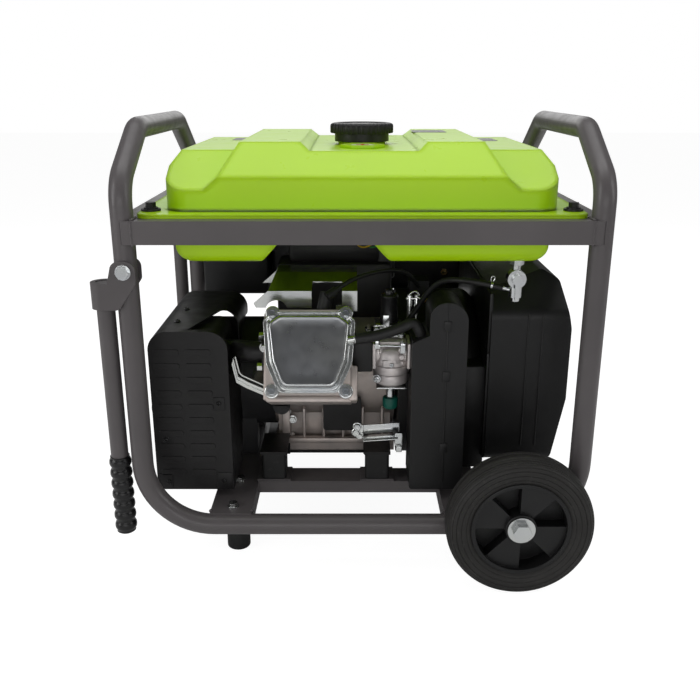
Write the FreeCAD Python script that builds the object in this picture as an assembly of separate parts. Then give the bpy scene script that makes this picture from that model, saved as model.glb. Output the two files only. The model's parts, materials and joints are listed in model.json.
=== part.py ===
"""Portable open-frame generator: tube frame, fuel tank, engine, alternator, wheels and folding handles.

X runs from the handle end to the recoil end, Y from the engine side (rear) to the control panel
side (front), Z up from the ground.  The shapes are drawn about the middle of the tube frame and
moved along X on export, so that the origin is under the middle of the whole machine.
"""
import FreeCAD, Part
import math
import os

V = FreeCAD.Vector
UP = V(0, 0, 1)
SIDES = ((-1, "rear"), (1, "front"))

# Fits and clearances
RUNNING = 0.05
HOLE_PLAY = 0.1
BODY_GAP = 0.3

# Tube frame
TUBE_R = 16.0
TUBE_WALL = 1.8
FRAME_X = 334.0
FRAME_Y = 267.0
SKID_Z = 79.0
SKID_BEND = 105.0
ARCH_FOOT_Z = 605.0
ARCH_TOP_Z = 673.0
ARCH_TOP_Y = 149.0
ARCH_BEND = 50.0
RAIL_Z = (523.0, 556.0)
RAIL_DEPTH = 32.0
SIDE_RAIL_X = (312.0, 344.0)
SPLICE_Z = 539.0
GUSSET = 4.0

# Floor of the frame
MEMBER_X = ((-237.0, -172.0), (130.0, 194.0))
MEMBER_Z = (67.0, 97.0)
MEMBER_WALL = 3.0
ENGINE_RAIL_OFF = 161.0
ENGINE_RAIL_WIDE = 50.0
ENGINE_RAIL_Z = (79.0, 100.0)
FOOT_X = -203.0
FOOT_Y = 198.0
FOOT_R = 19.0
FOOT_PLATE = 4.0
FOOT_BOLT_SPREAD = 45.0

# Wheels
AXLE_X = 235.0
WHEEL_R = 110.0
AXLE_Z = WHEEL_R
WHEEL_Y = (292.0, 342.0)
RIM_R = 74.0
BOSS_R = 23.0
AXLE_R = 8.0
AXLE_HEAD = 11.0
BRACKET_PLATE = 5.0
BRACKET_HALF = 22.0
BRACKET_TOP_Z = 134.0
SPACER = 4.0

# Folding handles
HANDLE_OUT = 34.0
PIVOT_Z = 485.0
PIVOT_R = 5.0
CHEEK = 2.4
SOCKET_Z = (430.0, 468.0)
BAR_R = 13.0
BAR_WALL = 1.5
GRIP_Z = (68.0, 197.0)
GRIP_R = 16.6
GRIP_RINGS = 7

# Fuel tank
TANK_WALL = 1.6
TANK_X = 283.0
TANK_Y = 237.0
FLANGE_X = 318.0
FLANGE_Y = 263.0
FLANGE = 3.0
TANK_TOP_Z = 655.0
TANK_END_Z = 642.0
TANK_BOTTOM_Z = 485.5
ARCH_X = (-120.0, 15.0)
ARCH_Z = 518.0
CAP_X = 1.5
CAP_Y = -38.0
CAP_R = 51.0
CAP_Z = (660.0, 676.0)
NECK_R = 38.0
RECESS_Z = 643.0
RECESS_X = (-76.0, 82.0)
RECESS_SLOPE = 15.0
GAUGE_Y = -125.0
GAUGE_R = 34.0
TANK_BOLT = (303.0, 224.0)
TANK_BOLT_R = 4.0

# Engine
CRANK_Y = 23.0
CRANK_Z = 234.0
CYL_X = -80.0
CYL_TILT = 25.0
CASE_X = (-150.0, 60.0)
CASE_R = 96.0
CASE_FOOT_Z = 119.0
BORE_BLOCK = 62.0
HEAD_BLOCK = 66.0
BARREL = (90.0, 190.0)
HEAD = (192.0, 262.0)
COVER_HALF = (70.0, 65.0)
COVER_EAR = (56.0, 60.0)
COVER_RISE = 18.0
SHAFT_R = 15.0
STICK_R = 8.3
MOUNT_X = (-145.0, 28.0)
MOUNT_SIZE = (40.0, 44.0)
MOUNT_Z = 147.0
MOUNT_PLATE = 3.0
CRADLE_PLATE = 5.0

# Cooling, starting and exhaust
SHROUD_X = (-172.0, -6.0)
SHROUD_Y = (-150.0, -7.0)
SHROUD_Z = (398.0, 425.0)
PLUG_NOTCH_X = (-78.0, -30.0)
BLOWER_X = (64.0, 203.0)
BLOWER_R = 150.0
SHEET = 2.0
RECOIL_X = (203.0, 250.0)
RECOIL_R = 88.0
PULLEY_X = (212.0, 228.0)
PULLEY_R = 60.0
PULLEY_POST_R = 9.0
ROPE_R = 2.5
COVER_X = (205.0, 332.0)
COVER_Y = (-167.0, 213.0)
COVER_Z = (140.0, 452.0)
COVER_WALL = 3.0
ALTERNATOR_X = (-318.0, -150.0)
ALTERNATOR_R = 98.0
SHIELD_X = (-329.0, -206.0)
SHIELD_Y = (-207.0, 56.0)
SHIELD_Z = (108.0, 375.0)
SHIELD_CORNER = 30.0
PIPE_R = 17.0
OUTLET_Y = -175.0
OUTLET_Z = 240.0
OUTLET_R = 11.0
OUTLET_BORE_R = 9.5

# Intake side
CARB_X = (17.0, 77.0)
CARB_Y = -178.0
CARB_Z = 334.0
BOWL_R = 29.0
AIRBOX_X = (77.0, 161.0)
AIRBOX_SPLIT_X = 130.0
AIRBOX_Y = (-222.0, -140.0)
AIRBOX_Z = (116.0, 424.0)
SHELF_Z = (361.0, 373.0)
SHELF_X = 103.0
BREATHER_R = 8.5
FUEL_HOSE_R = 4.5
LEAD_R = 3.5
TAP_X = 234.0
TAP_Y = -190.0

# Control panel
PANEL_X = (-300.0, 215.0)
PANEL_Y = (240.0, 285.0)
PANEL_Z = (334.0, 520.0)
PANEL_WALL = 2.5
SOCKET_X = (-200.0, -110.0)
SOCKET_AT_Z = 400.0
SOCKET_BORE_R = 21.0
SOCKET_DEPTH = 18.0
SWITCH_AT = (-10.0, 400.0, 11.0, 15.0)
BREAKER_AT = (50.0, 400.0, 11.0, 20.0)
METER_AT = (-240.0, 478.0)
METER_R = 22.0
EARTH_AT = (180.0, 360.0)
EARTH_R = 4.0

# Routes of the hoses and the lead, point by point
BREATHER_ROUTE = [V(-9, -215, 366), V(20, -216, 370), V(56, -213, 381), V(84, -206, 394),
                  V(91, -203, 369.2)]
BREATHER_BENDS = [0, 90, 90, 17, 0]
FUEL_ROUTE = [V(214, -190, 440), V(186, -190, 447), V(152, -180, 450), V(124, -148, 442),
              V(104, -128, 414), V(86, -124, 382), V(64, -131, 354)]
LEAD_ROUTE = [V(-40, -157, 428), V(-18, -144, 441), V(12, -124, 447), V(42, -101, 448),
              V(70, -76, 441), V(90, -50, 423), V(101, -22, 400)]


def box(x, y, z):
    """Block between two limits on each axis."""
    return Part.makeBox(x[1] - x[0], y[1] - y[0], z[1] - z[0], V(x[0], y[0], z[0]))


def rod(start, end, radius):
    """Round bar from one point to another."""
    return Part.makeCylinder(radius, (end - start).Length, start, end - start)


def ring(start, end, radius, hole):
    """Round sleeve from one point to another."""
    return rod(start, end, radius).cut(rod(start, end, hole))


def in_xz(y, pairs):
    return [V(x, y, z) for x, z in pairs]


def in_yz(x, pairs):
    return [V(x, y, z) for y, z in pairs]


def in_xy(z, pairs):
    return [V(x, y, z) for x, y in pairs]


def rounded_wire(points, radii, closed):
    """Straight runs joined by tangent arcs, one radius for each point."""
    count = len(points)
    corners = []
    for index, corner in enumerate(points):
        is_end = not closed and index in (0, count - 1)
        if is_end or radii[index] == 0:
            corners.append((corner, None, corner))
            continue
        back = (points[index - 1] - corner).normalize()
        ahead = (points[(index + 1) % count] - corner).normalize()
        half = back.getAngle(ahead) / 2
        reach = radii[index] / math.tan(half)
        inward = (back + ahead).normalize()
        middle = corner + inward * (radii[index] / math.sin(half) - radii[index])
        corners.append((corner + back * reach, middle, corner + ahead * reach))
    edges = []
    last = corners[-1][2] if closed else corners[0][0]
    for entry, middle, leave in corners:
        if (entry - last).Length > 1e-6:
            edges.append(Part.LineSegment(last, entry).toShape())
        if middle:
            edges.append(Part.Arc(entry, middle, leave).toShape())
        last = leave
    return Part.Wire(edges)


def plate(points, along, radii=0):
    """Flat outline, with rounded corners where asked, extruded along a vector."""
    if not isinstance(radii, (list, tuple)):
        radii = [radii] * len(points)
    return Part.Face(rounded_wire(points, radii, True)).extrude(along)


def swept(points, bends, radius):
    """Round solid bar along a route of runs and arcs."""
    path = rounded_wire(points, bends, False)
    section = Part.Wire(Part.makeCircle(radius, points[0], points[1] - points[0]))
    return path.makePipeShell([section], True, False)


def bent_tube(points, bends, outer, inner):
    """Hollow tube with open ends along a route of runs and arcs."""
    return swept(points, bends, outer).cut(swept(points, bends, inner))


def easy_bends(points):
    """The largest arc that the two runs at each inner point allow."""
    bends = [0]
    for before, corner, after in zip(points, points[1:], points[2:]):
        run_in = corner - before
        run_out = after - corner
        turn = run_in.getAngle(run_out)
        bends.append(0.45 * min(run_in.Length, run_out.Length) / math.tan(turn / 2))
    bends.append(0)
    return bends


def turned(shape, origin, direction):
    """Shape drawn along +Z, set at a point and turned to a direction."""
    shape.Placement = FreeCAD.Placement(origin, FreeCAD.Rotation(UP, direction))
    return shape


def hexagon(flats, height, base=0.0):
    """Six-sided head standing on a plane."""
    reach = flats / math.sqrt(3)
    angles = [math.radians(60 * k) for k in range(6)]
    return plate([V(reach * math.cos(a), reach * math.sin(a), base) for a in angles], V(0, 0, height))


def bolt(seat, direction, shank_r, length, flats, head, washer_r=0.0, washer=0.0):
    """Hex bolt: the washer stands on the seat and the shank goes in against the direction."""
    solid = hexagon(flats, head, washer)
    solid = solid.fuse(Part.makeCylinder(shank_r, length + washer, V(0, 0, -length)))
    if washer:
        solid = solid.fuse(Part.makeCylinder(washer_r, washer))
    return turned(solid, seat, direction)


def flip(shape):
    """Copy on the other side of the lengthwise middle plane."""
    return shape.mirror(V(0, 0, 0), V(0, 1, 0))


def at_side(shape, side):
    """A rear shape as it is, or its mirror image for the front."""
    return shape if side < 0 else flip(shape)


def on_cylinder(shape):
    """Shape drawn with +Z along the cylinder and Y across it, moved to the tilted cylinder."""
    turn = FreeCAD.Rotation(V(1, 0, 0), 90 - CYL_TILT)
    shape.Placement = FreeCAD.Placement(V(CYL_X, CRANK_Y, CRANK_Z), turn)
    return shape


def at_cylinder(x, across, along):
    """Point given in the tilted cylinder's own directions."""
    turn = FreeCAD.Rotation(V(1, 0, 0), 90 - CYL_TILT)
    return V(CYL_X, CRANK_Y, CRANK_Z) + turn.multVec(V(x, across, along))


def crank_point(x, radius=0.0, degrees=0.0):
    """Point about the crank line: 0 degrees towards the front, 90 degrees up."""
    angle = math.radians(degrees)
    return V(x, CRANK_Y + radius * math.cos(angle), CRANK_Z + radius * math.sin(angle))


def crank_rod(x, radius):
    return rod(crank_point(x[0]), crank_point(x[1]), radius)


# ---------------------------------------------------------------- frame

def frame_tubes():
    """Two U-shaped tubes: the skids with the lower part of the uprights."""
    tubes = []
    for side, _ in SIDES:
        y = side * FRAME_Y
        tube = bent_tube(frame_route(y), [0, SKID_BEND, SKID_BEND, 0], TUBE_R, TUBE_R - TUBE_WALL)
        pin = rod(V(-FRAME_X, y - 40, PIVOT_Z), V(-FRAME_X, y + 40, PIVOT_Z), PIVOT_R + HOLE_PLAY)
        tubes.append(tube.cut(pin))
    return tubes


def lift_arches():
    """Tube over each end, leaning inwards to a level bar for lifting."""
    arches = []
    for x in (-FRAME_X, FRAME_X):
        half = [(FRAME_Y, SPLICE_Z), (FRAME_Y, ARCH_FOOT_Z), (ARCH_TOP_Y, ARCH_TOP_Z)]
        route = in_yz(x, [(-y, z) for y, z in half] + half[::-1])
        bends = [0] + [ARCH_BEND] * 4 + [0]
        arches.append(bent_tube(route, bends, TUBE_R, TUBE_R - TUBE_WALL))
    return arches


def upright_cores():
    """Solid cores of the four uprights, for coping what is welded to them."""
    return [rod(V(x, y, SKID_Z), V(x, y, ARCH_FOOT_Z), TUBE_R)
            for x in (-FRAME_X, FRAME_X) for y in (-FRAME_Y, FRAME_Y)]


def frame_route(y):
    return in_xz(y, [(-FRAME_X, SPLICE_Z), (-FRAME_X, SKID_Z), (FRAME_X, SKID_Z), (FRAME_X, SPLICE_Z)])


def skid_cores():
    """Solid cores of the two U-shaped tubes."""
    return [swept(frame_route(y), [0, SKID_BEND, SKID_BEND, 0], TUBE_R) for y in (-FRAME_Y, FRAME_Y)]


def tank_bolt_points(z):
    return [V(a * TANK_BOLT[0], b * TANK_BOLT[1], z) for a in (-1, 1) for b in (-1, 1)]


def top_rails():
    """Long and short square tubes under the tank, with a gusset in each corner."""
    inner_y = FRAME_Y - RAIL_DEPTH / 2
    wall = TUBE_WALL
    rails = []
    for side, _ in SIDES:
        y = (side * FRAME_Y - RAIL_DEPTH / 2, side * FRAME_Y + RAIL_DEPTH / 2)
        rail = box((-FRAME_X, FRAME_X), y, RAIL_Z)
        core = box((-FRAME_X, FRAME_X), (y[0] + wall, y[1] - wall), (RAIL_Z[0] + wall, RAIL_Z[1] - wall))
        rails.append(rail.cut(core).cut(upright_cores()))
    for end in (-1, 1):
        x = sorted(end * value for value in SIDE_RAIL_X)
        rail = box(x, (-inner_y, inner_y), RAIL_Z)
        core = box((x[0] + wall, x[1] - wall), (-inner_y, inner_y), (RAIL_Z[0] + wall, RAIL_Z[1] - wall))
        rail = rail.cut(core)
        for side, _ in SIDES:
            inner = end * SIDE_RAIL_X[0]
            reach = end * (TANK_BOLT[0] - 20)
            wing = box(sorted((inner, reach)), sorted((side * 196, side * inner_y)),
                       (RAIL_Z[1] - GUSSET, RAIL_Z[1]))
            rail = rail.fuse(wing)
        holes = [rod(p, p + V(0, 0, GUSSET + 4), TANK_BOLT_R + HOLE_PLAY)
                 for p in tank_bolt_points(RAIL_Z[1] - GUSSET - 2)]
        rails.append(rail.cut(holes).cut(upright_cores()))
    return rails


def foot_bolt_points(z):
    """Two bolts either side of each rubber foot."""
    return [V(FOOT_X, side * FOOT_Y + step * FOOT_BOLT_SPREAD, z) for side, _ in SIDES for step in (-1, 1)]


def bottom_cross_members():
    """Downward channels across the skids."""
    members = []
    for x in MEMBER_X:
        channel = box(x, (-FRAME_Y, FRAME_Y), MEMBER_Z)
        hollow = box((x[0] + MEMBER_WALL, x[1] - MEMBER_WALL), (-FRAME_Y, FRAME_Y),
                     (MEMBER_Z[0], MEMBER_Z[1] - MEMBER_WALL))
        channel = channel.cut(hollow).cut(skid_cores())
        members.append(channel)
    holes = [rod(p - V(0, 0, 10), p, AXLE_R / 2 + HOLE_PLAY) for p in foot_bolt_points(MEMBER_Z[1] + 1)]
    members[0] = members[0].cut(holes)
    return members


def engine_rails():
    """Flat tubes between the cross members, under the engine mounts."""
    rails = []
    for side, _ in SIDES:
        middle = CRANK_Y + side * ENGINE_RAIL_OFF
        y = (middle - ENGINE_RAIL_WIDE / 2, middle + ENGINE_RAIL_WIDE / 2)
        x = (MEMBER_X[0][1], MEMBER_X[1][0])
        rail = box(x, y, ENGINE_RAIL_Z)
        core = box(x, (y[0] + TUBE_WALL, y[1] - TUBE_WALL),
                   (ENGINE_RAIL_Z[0] + TUBE_WALL, ENGINE_RAIL_Z[1] - TUBE_WALL))
        rails.append(rail.cut(core))
    return rails


def foot_plates():
    """Flat steel under the channel that each foot is bonded to."""
    top = MEMBER_Z[1] - MEMBER_WALL
    plates = []
    for side, _ in SIDES:
        y = (side * FOOT_Y - FOOT_BOLT_SPREAD - 9, side * FOOT_Y + FOOT_BOLT_SPREAD + 9)
        flat = box((FOOT_X - 25, FOOT_X + 25), y, (top - FOOT_PLATE, top))
        holes = [rod(p - V(0, 0, 20), p, AXLE_R / 2 + HOLE_PLAY) for p in foot_bolt_points(top + 1)]
        plates.append(flat.cut(holes))
    return plates


def rubber_feet():
    """Round rubber feet standing on the ground."""
    top = MEMBER_Z[1] - MEMBER_WALL - FOOT_PLATE
    feet = []
    for side, _ in SIDES:
        foot = Part.makeCylinder(FOOT_R, top, V(FOOT_X, side * FOOT_Y, 0))
        feet.append(foot.makeFillet(4, [e for e in foot.Edges if e.BoundBox.ZMax < 1]))
    return feet


def foot_bolts():
    """Bolts that hold the foot plates."""
    length = MEMBER_WALL + FOOT_PLATE + 3
    return [bolt(p, UP, AXLE_R / 2, length, 13, 5.5, 9, 1.5) for p in foot_bolt_points(MEMBER_Z[1])]


def wheel_brackets():
    """Saddles welded over the skids, with a cheek on each side for the axle bolt."""
    saddles = []
    for side, _ in SIDES:
        outer = FRAME_Y + TUBE_R
        inner = FRAME_Y - TUBE_R
        x = (AXLE_X - BRACKET_HALF, AXLE_X + BRACKET_HALF)
        body = box(x, sorted((side * inner, side * outer)), (SKID_Z, BRACKET_TOP_Z))
        hollow = box(x, sorted((side * (inner + BRACKET_PLATE), side * (outer - BRACKET_PLATE))),
                     (SKID_Z, BRACKET_TOP_Z - BRACKET_PLATE))
        hole = rod(V(AXLE_X, side * (inner - 1), AXLE_Z), V(AXLE_X, side * (outer + 1), AXLE_Z),
                   AXLE_R + HOLE_PLAY)
        saddle = body.cut(hollow).cut(skid_cores()).cut(hole)
        saddles.append(max(saddle.Solids, key=lambda piece: piece.Volume))
    return saddles


def axle_bolts():
    """Shoulder bolt, outer washer, inner spacer and nut for each wheel."""
    seat = WHEEL_Y[1] - 1.0
    inner = FRAME_Y - TUBE_R
    outer = FRAME_Y + TUBE_R
    bolts = []
    for side, _ in SIDES:
        washer = 3.0
        length = seat - inner + 14
        main = bolt(V(AXLE_X, -seat, AXLE_Z), V(0, -1, 0), AXLE_R, length, 24, AXLE_HEAD)
        main = main.fuse(rod(V(AXLE_X, -seat, AXLE_Z), V(AXLE_X, washer - seat, AXLE_Z), 20.5))
        spacer = ring(V(AXLE_X, -outer, AXLE_Z), V(AXLE_X, -outer - SPACER, AXLE_Z), 14, AXLE_R)
        nut = turned(hexagon(24, 10), V(AXLE_X, -inner, AXLE_Z), V(0, 1, 0))
        bolts.append(at_side(main.fuse([spacer, nut]), side))
    return bolts


# ---------------------------------------------------------------- wheels and handles

def wheel_disc(x_radius, y, side=-1):
    """Short round bar about the axle line, at rear depths measured from the middle plane."""
    solid = rod(V(AXLE_X, -y[0], AXLE_Z), V(AXLE_X, -y[1], AXLE_Z), x_radius)
    return at_side(solid, side)


def tyre():
    """Solid rubber tyre with round shoulders."""
    inner, outer = WHEEL_Y
    section = [(RIM_R, inner + 4), (RIM_R + 10, inner), (WHEEL_R, inner), (WHEEL_R, outer),
               (RIM_R + 10, outer), (RIM_R, outer - 4)]
    points = [V(AXLE_X, -y, AXLE_Z + r) for r, y in section]
    face = Part.Face(rounded_wire(points, [0, 6, 13, 13, 6, 0], True))
    return face.revolve(V(AXLE_X, 0, AXLE_Z), V(0, 1, 0), 360)


def wheel_hub():
    """Plastic hub: rim, boss and eight sectors that stand proud and sunk in turn."""
    inner, outer = WHEEL_Y
    rim_y = (inner + 3, outer - 3)
    rim = wheel_disc(RIM_R - RUNNING, rim_y).cut(wheel_disc(RIM_R - 6, rim_y))
    boss_y = (inner - 4, outer - 4)
    boss = wheel_disc(BOSS_R, boss_y)
    web = 4.0
    proud = (outer - 14, outer - 14 + web)
    sunk = (inner + 14, inner + 14 + web)
    parts = [boss]
    for k in range(8):
        depth = proud if k % 2 else sunk
        start = math.radians(45 * k)
        end = math.radians(45 * (k + 1))
        reach = RIM_R * 1.2
        wedge = plate([V(AXLE_X, -depth[0], AXLE_Z),
                       V(AXLE_X + reach * math.cos(start), -depth[0], AXLE_Z + reach * math.sin(start)),
                       V(AXLE_X + reach * math.cos(end), -depth[0], AXLE_Z + reach * math.sin(end))],
                      V(0, -web, 0))
        parts.append(wedge.common(wheel_disc(RIM_R - 3, depth)))
        wall = box((BOSS_R - 2, RIM_R - 3), (-proud[1], -sunk[0]), (-1.5, 1.5))
        wall.rotate(V(0, 0, 0), V(0, -1, 0), 45 * k)
        wall.translate(V(AXLE_X, 0, AXLE_Z))
        parts.append(wall)
    hub = rim.fuse(parts).removeSplitter()
    return hub.cut(wheel_disc(AXLE_R + RUNNING, (inner - 20, outer + 20)))


def handle_x():
    return -FRAME_X - HANDLE_OUT


def handle_bracket():
    """Bent sheet with a cheek on each side of the upright, closed round the bar in a socket."""
    half = TUBE_R + BODY_GAP + CHEEK
    low, high = SOCKET_Z
    bar_x = handle_x()
    near = -FRAME_X - TUBE_R - 2
    outline = in_xy(low, [(near, -FRAME_Y - half), (near, -FRAME_Y + half), (bar_x - half, -FRAME_Y + half),
                          (bar_x - half, -FRAME_Y - half)])
    socket = plate(outline, V(0, 0, high - low), [0, 0, half - 0.01, half - 0.01])
    cheek = [(near - 6, low), (near - 6, high), (-FRAME_X - 16, PIVOT_Z + 15), (-FRAME_X + 17, PIVOT_Z + 15),
             (-FRAME_X + 17, PIVOT_Z - 16), (near + 8, low)]
    cheeks = plate(in_xz(-FRAME_Y - half, cheek), V(0, 2 * half, 0), [0, 0, 12, 14, 10, 10])
    slot = box((near - 0.01, -FRAME_X + 30), (-FRAME_Y - TUBE_R - BODY_GAP, -FRAME_Y + TUBE_R + BODY_GAP),
               (low - 1, PIVOT_Z + 20))
    above = box((near - 40, near + 1), (-FRAME_Y - TUBE_R - BODY_GAP, -FRAME_Y + TUBE_R + BODY_GAP),
                (high, PIVOT_Z + 20))
    bore = rod(V(bar_x, -FRAME_Y, low - 1), V(bar_x, -FRAME_Y, high + 1), BAR_R + RUNNING)
    pin = rod(V(-FRAME_X, -FRAME_Y - 30, PIVOT_Z), V(-FRAME_X, -FRAME_Y + 30, PIVOT_Z), PIVOT_R + RUNNING)
    return socket.fuse(cheeks).cut([slot, above, bore, pin])


def handle_bar():
    """Straight tube with a plug in its top end."""
    x = handle_x()
    top = SOCKET_Z[1]
    tube = ring(V(x, -FRAME_Y, GRIP_Z[0] + 7), V(x, -FRAME_Y, top), BAR_R, BAR_R - BAR_WALL)
    plug = rod(V(x, -FRAME_Y, top - 12), V(x, -FRAME_Y, top - 1), BAR_R - BAR_WALL)
    return tube, plug


def handle_grip():
    """Ribbed rubber grip with a closed lower end."""
    x = handle_x()
    low, high = GRIP_Z
    pitch = (high - low) / GRIP_RINGS
    outline = [(0, low), (GRIP_R - 2, low)]
    radii = [0, 3]
    for k in range(GRIP_RINGS):
        base = low + k * pitch
        outline += [(GRIP_R, base + 0.30 * pitch), (GRIP_R, base + 0.62 * pitch), (GRIP_R - 2, base + pitch)]
        radii += [3, 3, 1 if k < GRIP_RINGS - 1 else 0]
    outline.append((0, high))
    radii.append(0)
    face = Part.Face(rounded_wire([V(x + r, -FRAME_Y, z) for r, z in outline], radii, True))
    grip = face.revolve(V(x, -FRAME_Y, 0), UP, 360)
    return grip.cut(rod(V(x, -FRAME_Y, low + 7), V(x, -FRAME_Y, high + 1), BAR_R + RUNNING))


def handle_pivot_bolts():
    """Bolt through both cheeks and the upright, with its nut on the inside."""
    half = TUBE_R + BODY_GAP + CHEEK + BODY_GAP
    bolts = []
    for side, _ in SIDES:
        head_at = V(-FRAME_X, -FRAME_Y - half, PIVOT_Z)
        pin = bolt(head_at, V(0, -1, 0), PIVOT_R, 2 * half + 7, 17, 6, 11, 1.6)
        nut = turned(hexagon(15, 6), V(-FRAME_X, -FRAME_Y + half, PIVOT_Z), V(0, 1, 0))
        bolts.append(at_side(pin.fuse(nut), side))
    return bolts


# ---------------------------------------------------------------- fuel tank

def double(pairs):
    """Outline given for the positive half, completed on the negative half."""
    return [(-u, v) for u, v in pairs] + pairs[::-1]


def tank_top_body(inset):
    """Bevelled upper half: a raised middle panel over a lower, narrower-topped body."""
    base = RAIL_Z[1] + FLANGE
    w = inset
    y = TANK_Y - w
    middle_yz = double([(y, base), (y, 610 - w / 2), (177 - w / 2, TANK_TOP_Z - w)])
    middle_xz = double([(232 - w, base), (232 - w, 586), (205 - w, 610 - w / 2), (179 - w, TANK_TOP_Z - w)])
    ends_yz = double([(y, base), (y, 592 - w / 2), (153 - w / 2, TANK_END_Z - w)])
    ends_xz = double([(TANK_X - w, base), (TANK_X - w - 2, 622 - w / 2), (268 - w, TANK_END_Z - w)])
    middle = plate(in_yz(-300, middle_yz), V(600, 0, 0)).common(plate(in_xz(-300, middle_xz), V(0, 600, 0)))
    ends = plate(in_yz(-300, ends_yz), V(600, 0, 0)).common(plate(in_xz(-300, ends_xz), V(0, 600, 0)))
    low, high = RECESS_X
    rim = TANK_TOP_Z + 1
    recess = [(low - w, RECESS_Z - w), (high + w, RECESS_Z - w), (high + w + RECESS_SLOPE, rim),
              (low - w - RECESS_SLOPE, rim)]
    body = middle.fuse(ends).cut(plate(in_xz(-300, recess), V(0, 600, 0)))
    corner = 34 - w
    plan = [(-TANK_X + w, -y), (TANK_X - w, -y), (TANK_X - w, y), (-TANK_X + w, y)]
    return body.common(plate(in_xy(base, plan), V(0, 0, 120), corner)).removeSplitter()


def tank_flange(z):
    plan = [(-FLANGE_X, -FLANGE_Y), (FLANGE_X, -FLANGE_Y), (FLANGE_X, FLANGE_Y), (-FLANGE_X, FLANGE_Y)]
    sheet = plate(in_xy(z, plan), V(0, 0, FLANGE), 18)
    posts = upright_cores()
    holes = [rod(p, p + V(0, 0, 30), TANK_BOLT_R + HOLE_PLAY) for p in tank_bolt_points(z - 10)]
    return sheet.cut(holes).cut(posts)


def fuel_tank_upper():
    """Pressed upper half with its flange and the filler neck."""
    seam = RAIL_Z[1] + FLANGE
    shell = tank_flange(seam).fuse(tank_top_body(0)).cut(tank_top_body(TANK_WALL))
    inside = box((-TANK_X + 25, TANK_X - 25), (-TANK_Y + 25, TANK_Y - 25), (seam - 1, seam + FLANGE + 1))
    neck = rod(V(CAP_X, CAP_Y, RECESS_Z - 12), V(CAP_X, CAP_Y, CAP_Z[0] - 0.8), NECK_R)
    bore = rod(V(CAP_X, CAP_Y, RECESS_Z - 13), V(CAP_X, CAP_Y, CAP_Z[0] + 1), NECK_R - TANK_WALL)
    gauge = rod(V(CAP_X, GAUGE_Y, RECESS_Z - 10), V(CAP_X, GAUGE_Y, RECESS_Z + 10), 18 + HOLE_PLAY)
    return shell.cut(inside).fuse(neck).cut([bore, gauge])


def tank_bottom_body(inset):
    """Lower half: round bottom edges and an arch across it over the engine."""
    seam = RAIL_Z[1] + FLANGE
    w = inset
    bottom = TANK_BOTTOM_Z + w
    left, right = ARCH_X
    outline = [(-270 + w, seam), (-268 + w, bottom), (left - 28 - w, bottom), (left - w, ARCH_Z + w),
               (right + w, ARCH_Z + w), (right + 28 + w, bottom), (268 - w, bottom), (270 - w, seam)]
    radii = [0, 28 - w, 16 + w, 16 - w, 16 - w, 16 + w, 28 - w, 0]
    across = [(-236 + w, seam), (-234 + w, bottom), (234 - w, bottom), (236 - w, seam)]
    long_way = plate(in_xz(-250, outline), V(0, 500, 0), radii)
    short_way = plate(in_yz(-300, across), V(600, 0, 0), [0, 28 - w, 28 - w, 0])
    return long_way.common(short_way)


def fuel_tank_lower():
    """Pressed lower half with its flange and the tap boss."""
    flange = tank_flange(RAIL_Z[1])
    inside = box((-TANK_X + 25, TANK_X - 25), (-TANK_Y + 25, TANK_Y - 25), (RAIL_Z[1] - 1, RAIL_Z[1] + FLANGE + 1))
    shell = flange.fuse(tank_bottom_body(0)).cut([tank_bottom_body(TANK_WALL), inside])
    return shell.cut(rod(V(TAP_X, TAP_Y, TANK_BOTTOM_Z - 2), V(TAP_X, TAP_Y, TANK_BOTTOM_Z + 8), 6 + HOLE_PLAY))


def tank_washers():
    """Rubber washers under the tank bolts."""
    top = RAIL_Z[1] + 2 * FLANGE
    return [ring(p, p + V(0, 0, 3), 14, TANK_BOLT_R + HOLE_PLAY) for p in tank_bolt_points(top)]


def tank_bolts():
    """Flanged hex bolts at the corners of the tank."""
    top = RAIL_Z[1] + 2 * FLANGE + 3
    length = 2 * FLANGE + GUSSET + 9
    return [bolt(p, UP, TANK_BOLT_R, length, 13, 7, 10, 2) for p in tank_bolt_points(top)]


def fuel_cap():
    """Round screw cap with finger ribs round its edge and a hollow underside."""
    low, high = CAP_Z
    base = V(CAP_X, CAP_Y, low)
    top = V(CAP_X, CAP_Y, high)
    body = rod(base, top, CAP_R - 1.5)
    body = body.makeFillet(4, [e for e in body.Edges if e.BoundBox.ZMin > high - 1])
    ribs = []
    for k in range(18):
        angle = math.radians(20 * k)
        foot = V(CAP_X + (CAP_R - 5) * math.cos(angle), CAP_Y + (CAP_R - 5) * math.sin(angle), low)
        ribs.append(rod(foot, foot + V(0, 0, high - low - 3.5), 5))
    hollow = rod(base - V(0, 0, 1), base + V(0, 0, 3), NECK_R + 3)
    return body.fuse(ribs).removeSplitter().cut(hollow)


def cap_seal():
    """Rubber seal that stays in the cap's underside and lifts off with it."""
    low = V(CAP_X, CAP_Y, CAP_Z[0] - 0.5)
    return ring(low, low + V(0, 0, 3.2), NECK_R + 2, NECK_R - 9)


def fuel_gauge():
    """Six-sided gauge body let into the tank top, with a round well for the window."""
    centre = V(CAP_X, GAUGE_Y, RECESS_Z)
    head = hexagon(GAUGE_R * math.sqrt(3), 5)
    head = turned(head, centre, UP)
    stem = rod(centre - V(0, 0, 30), centre, 18)
    well = rod(centre + V(0, 0, 3), centre + V(0, 0, 6), 21 + RUNNING)
    return head.fuse(stem).cut(well)


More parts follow.
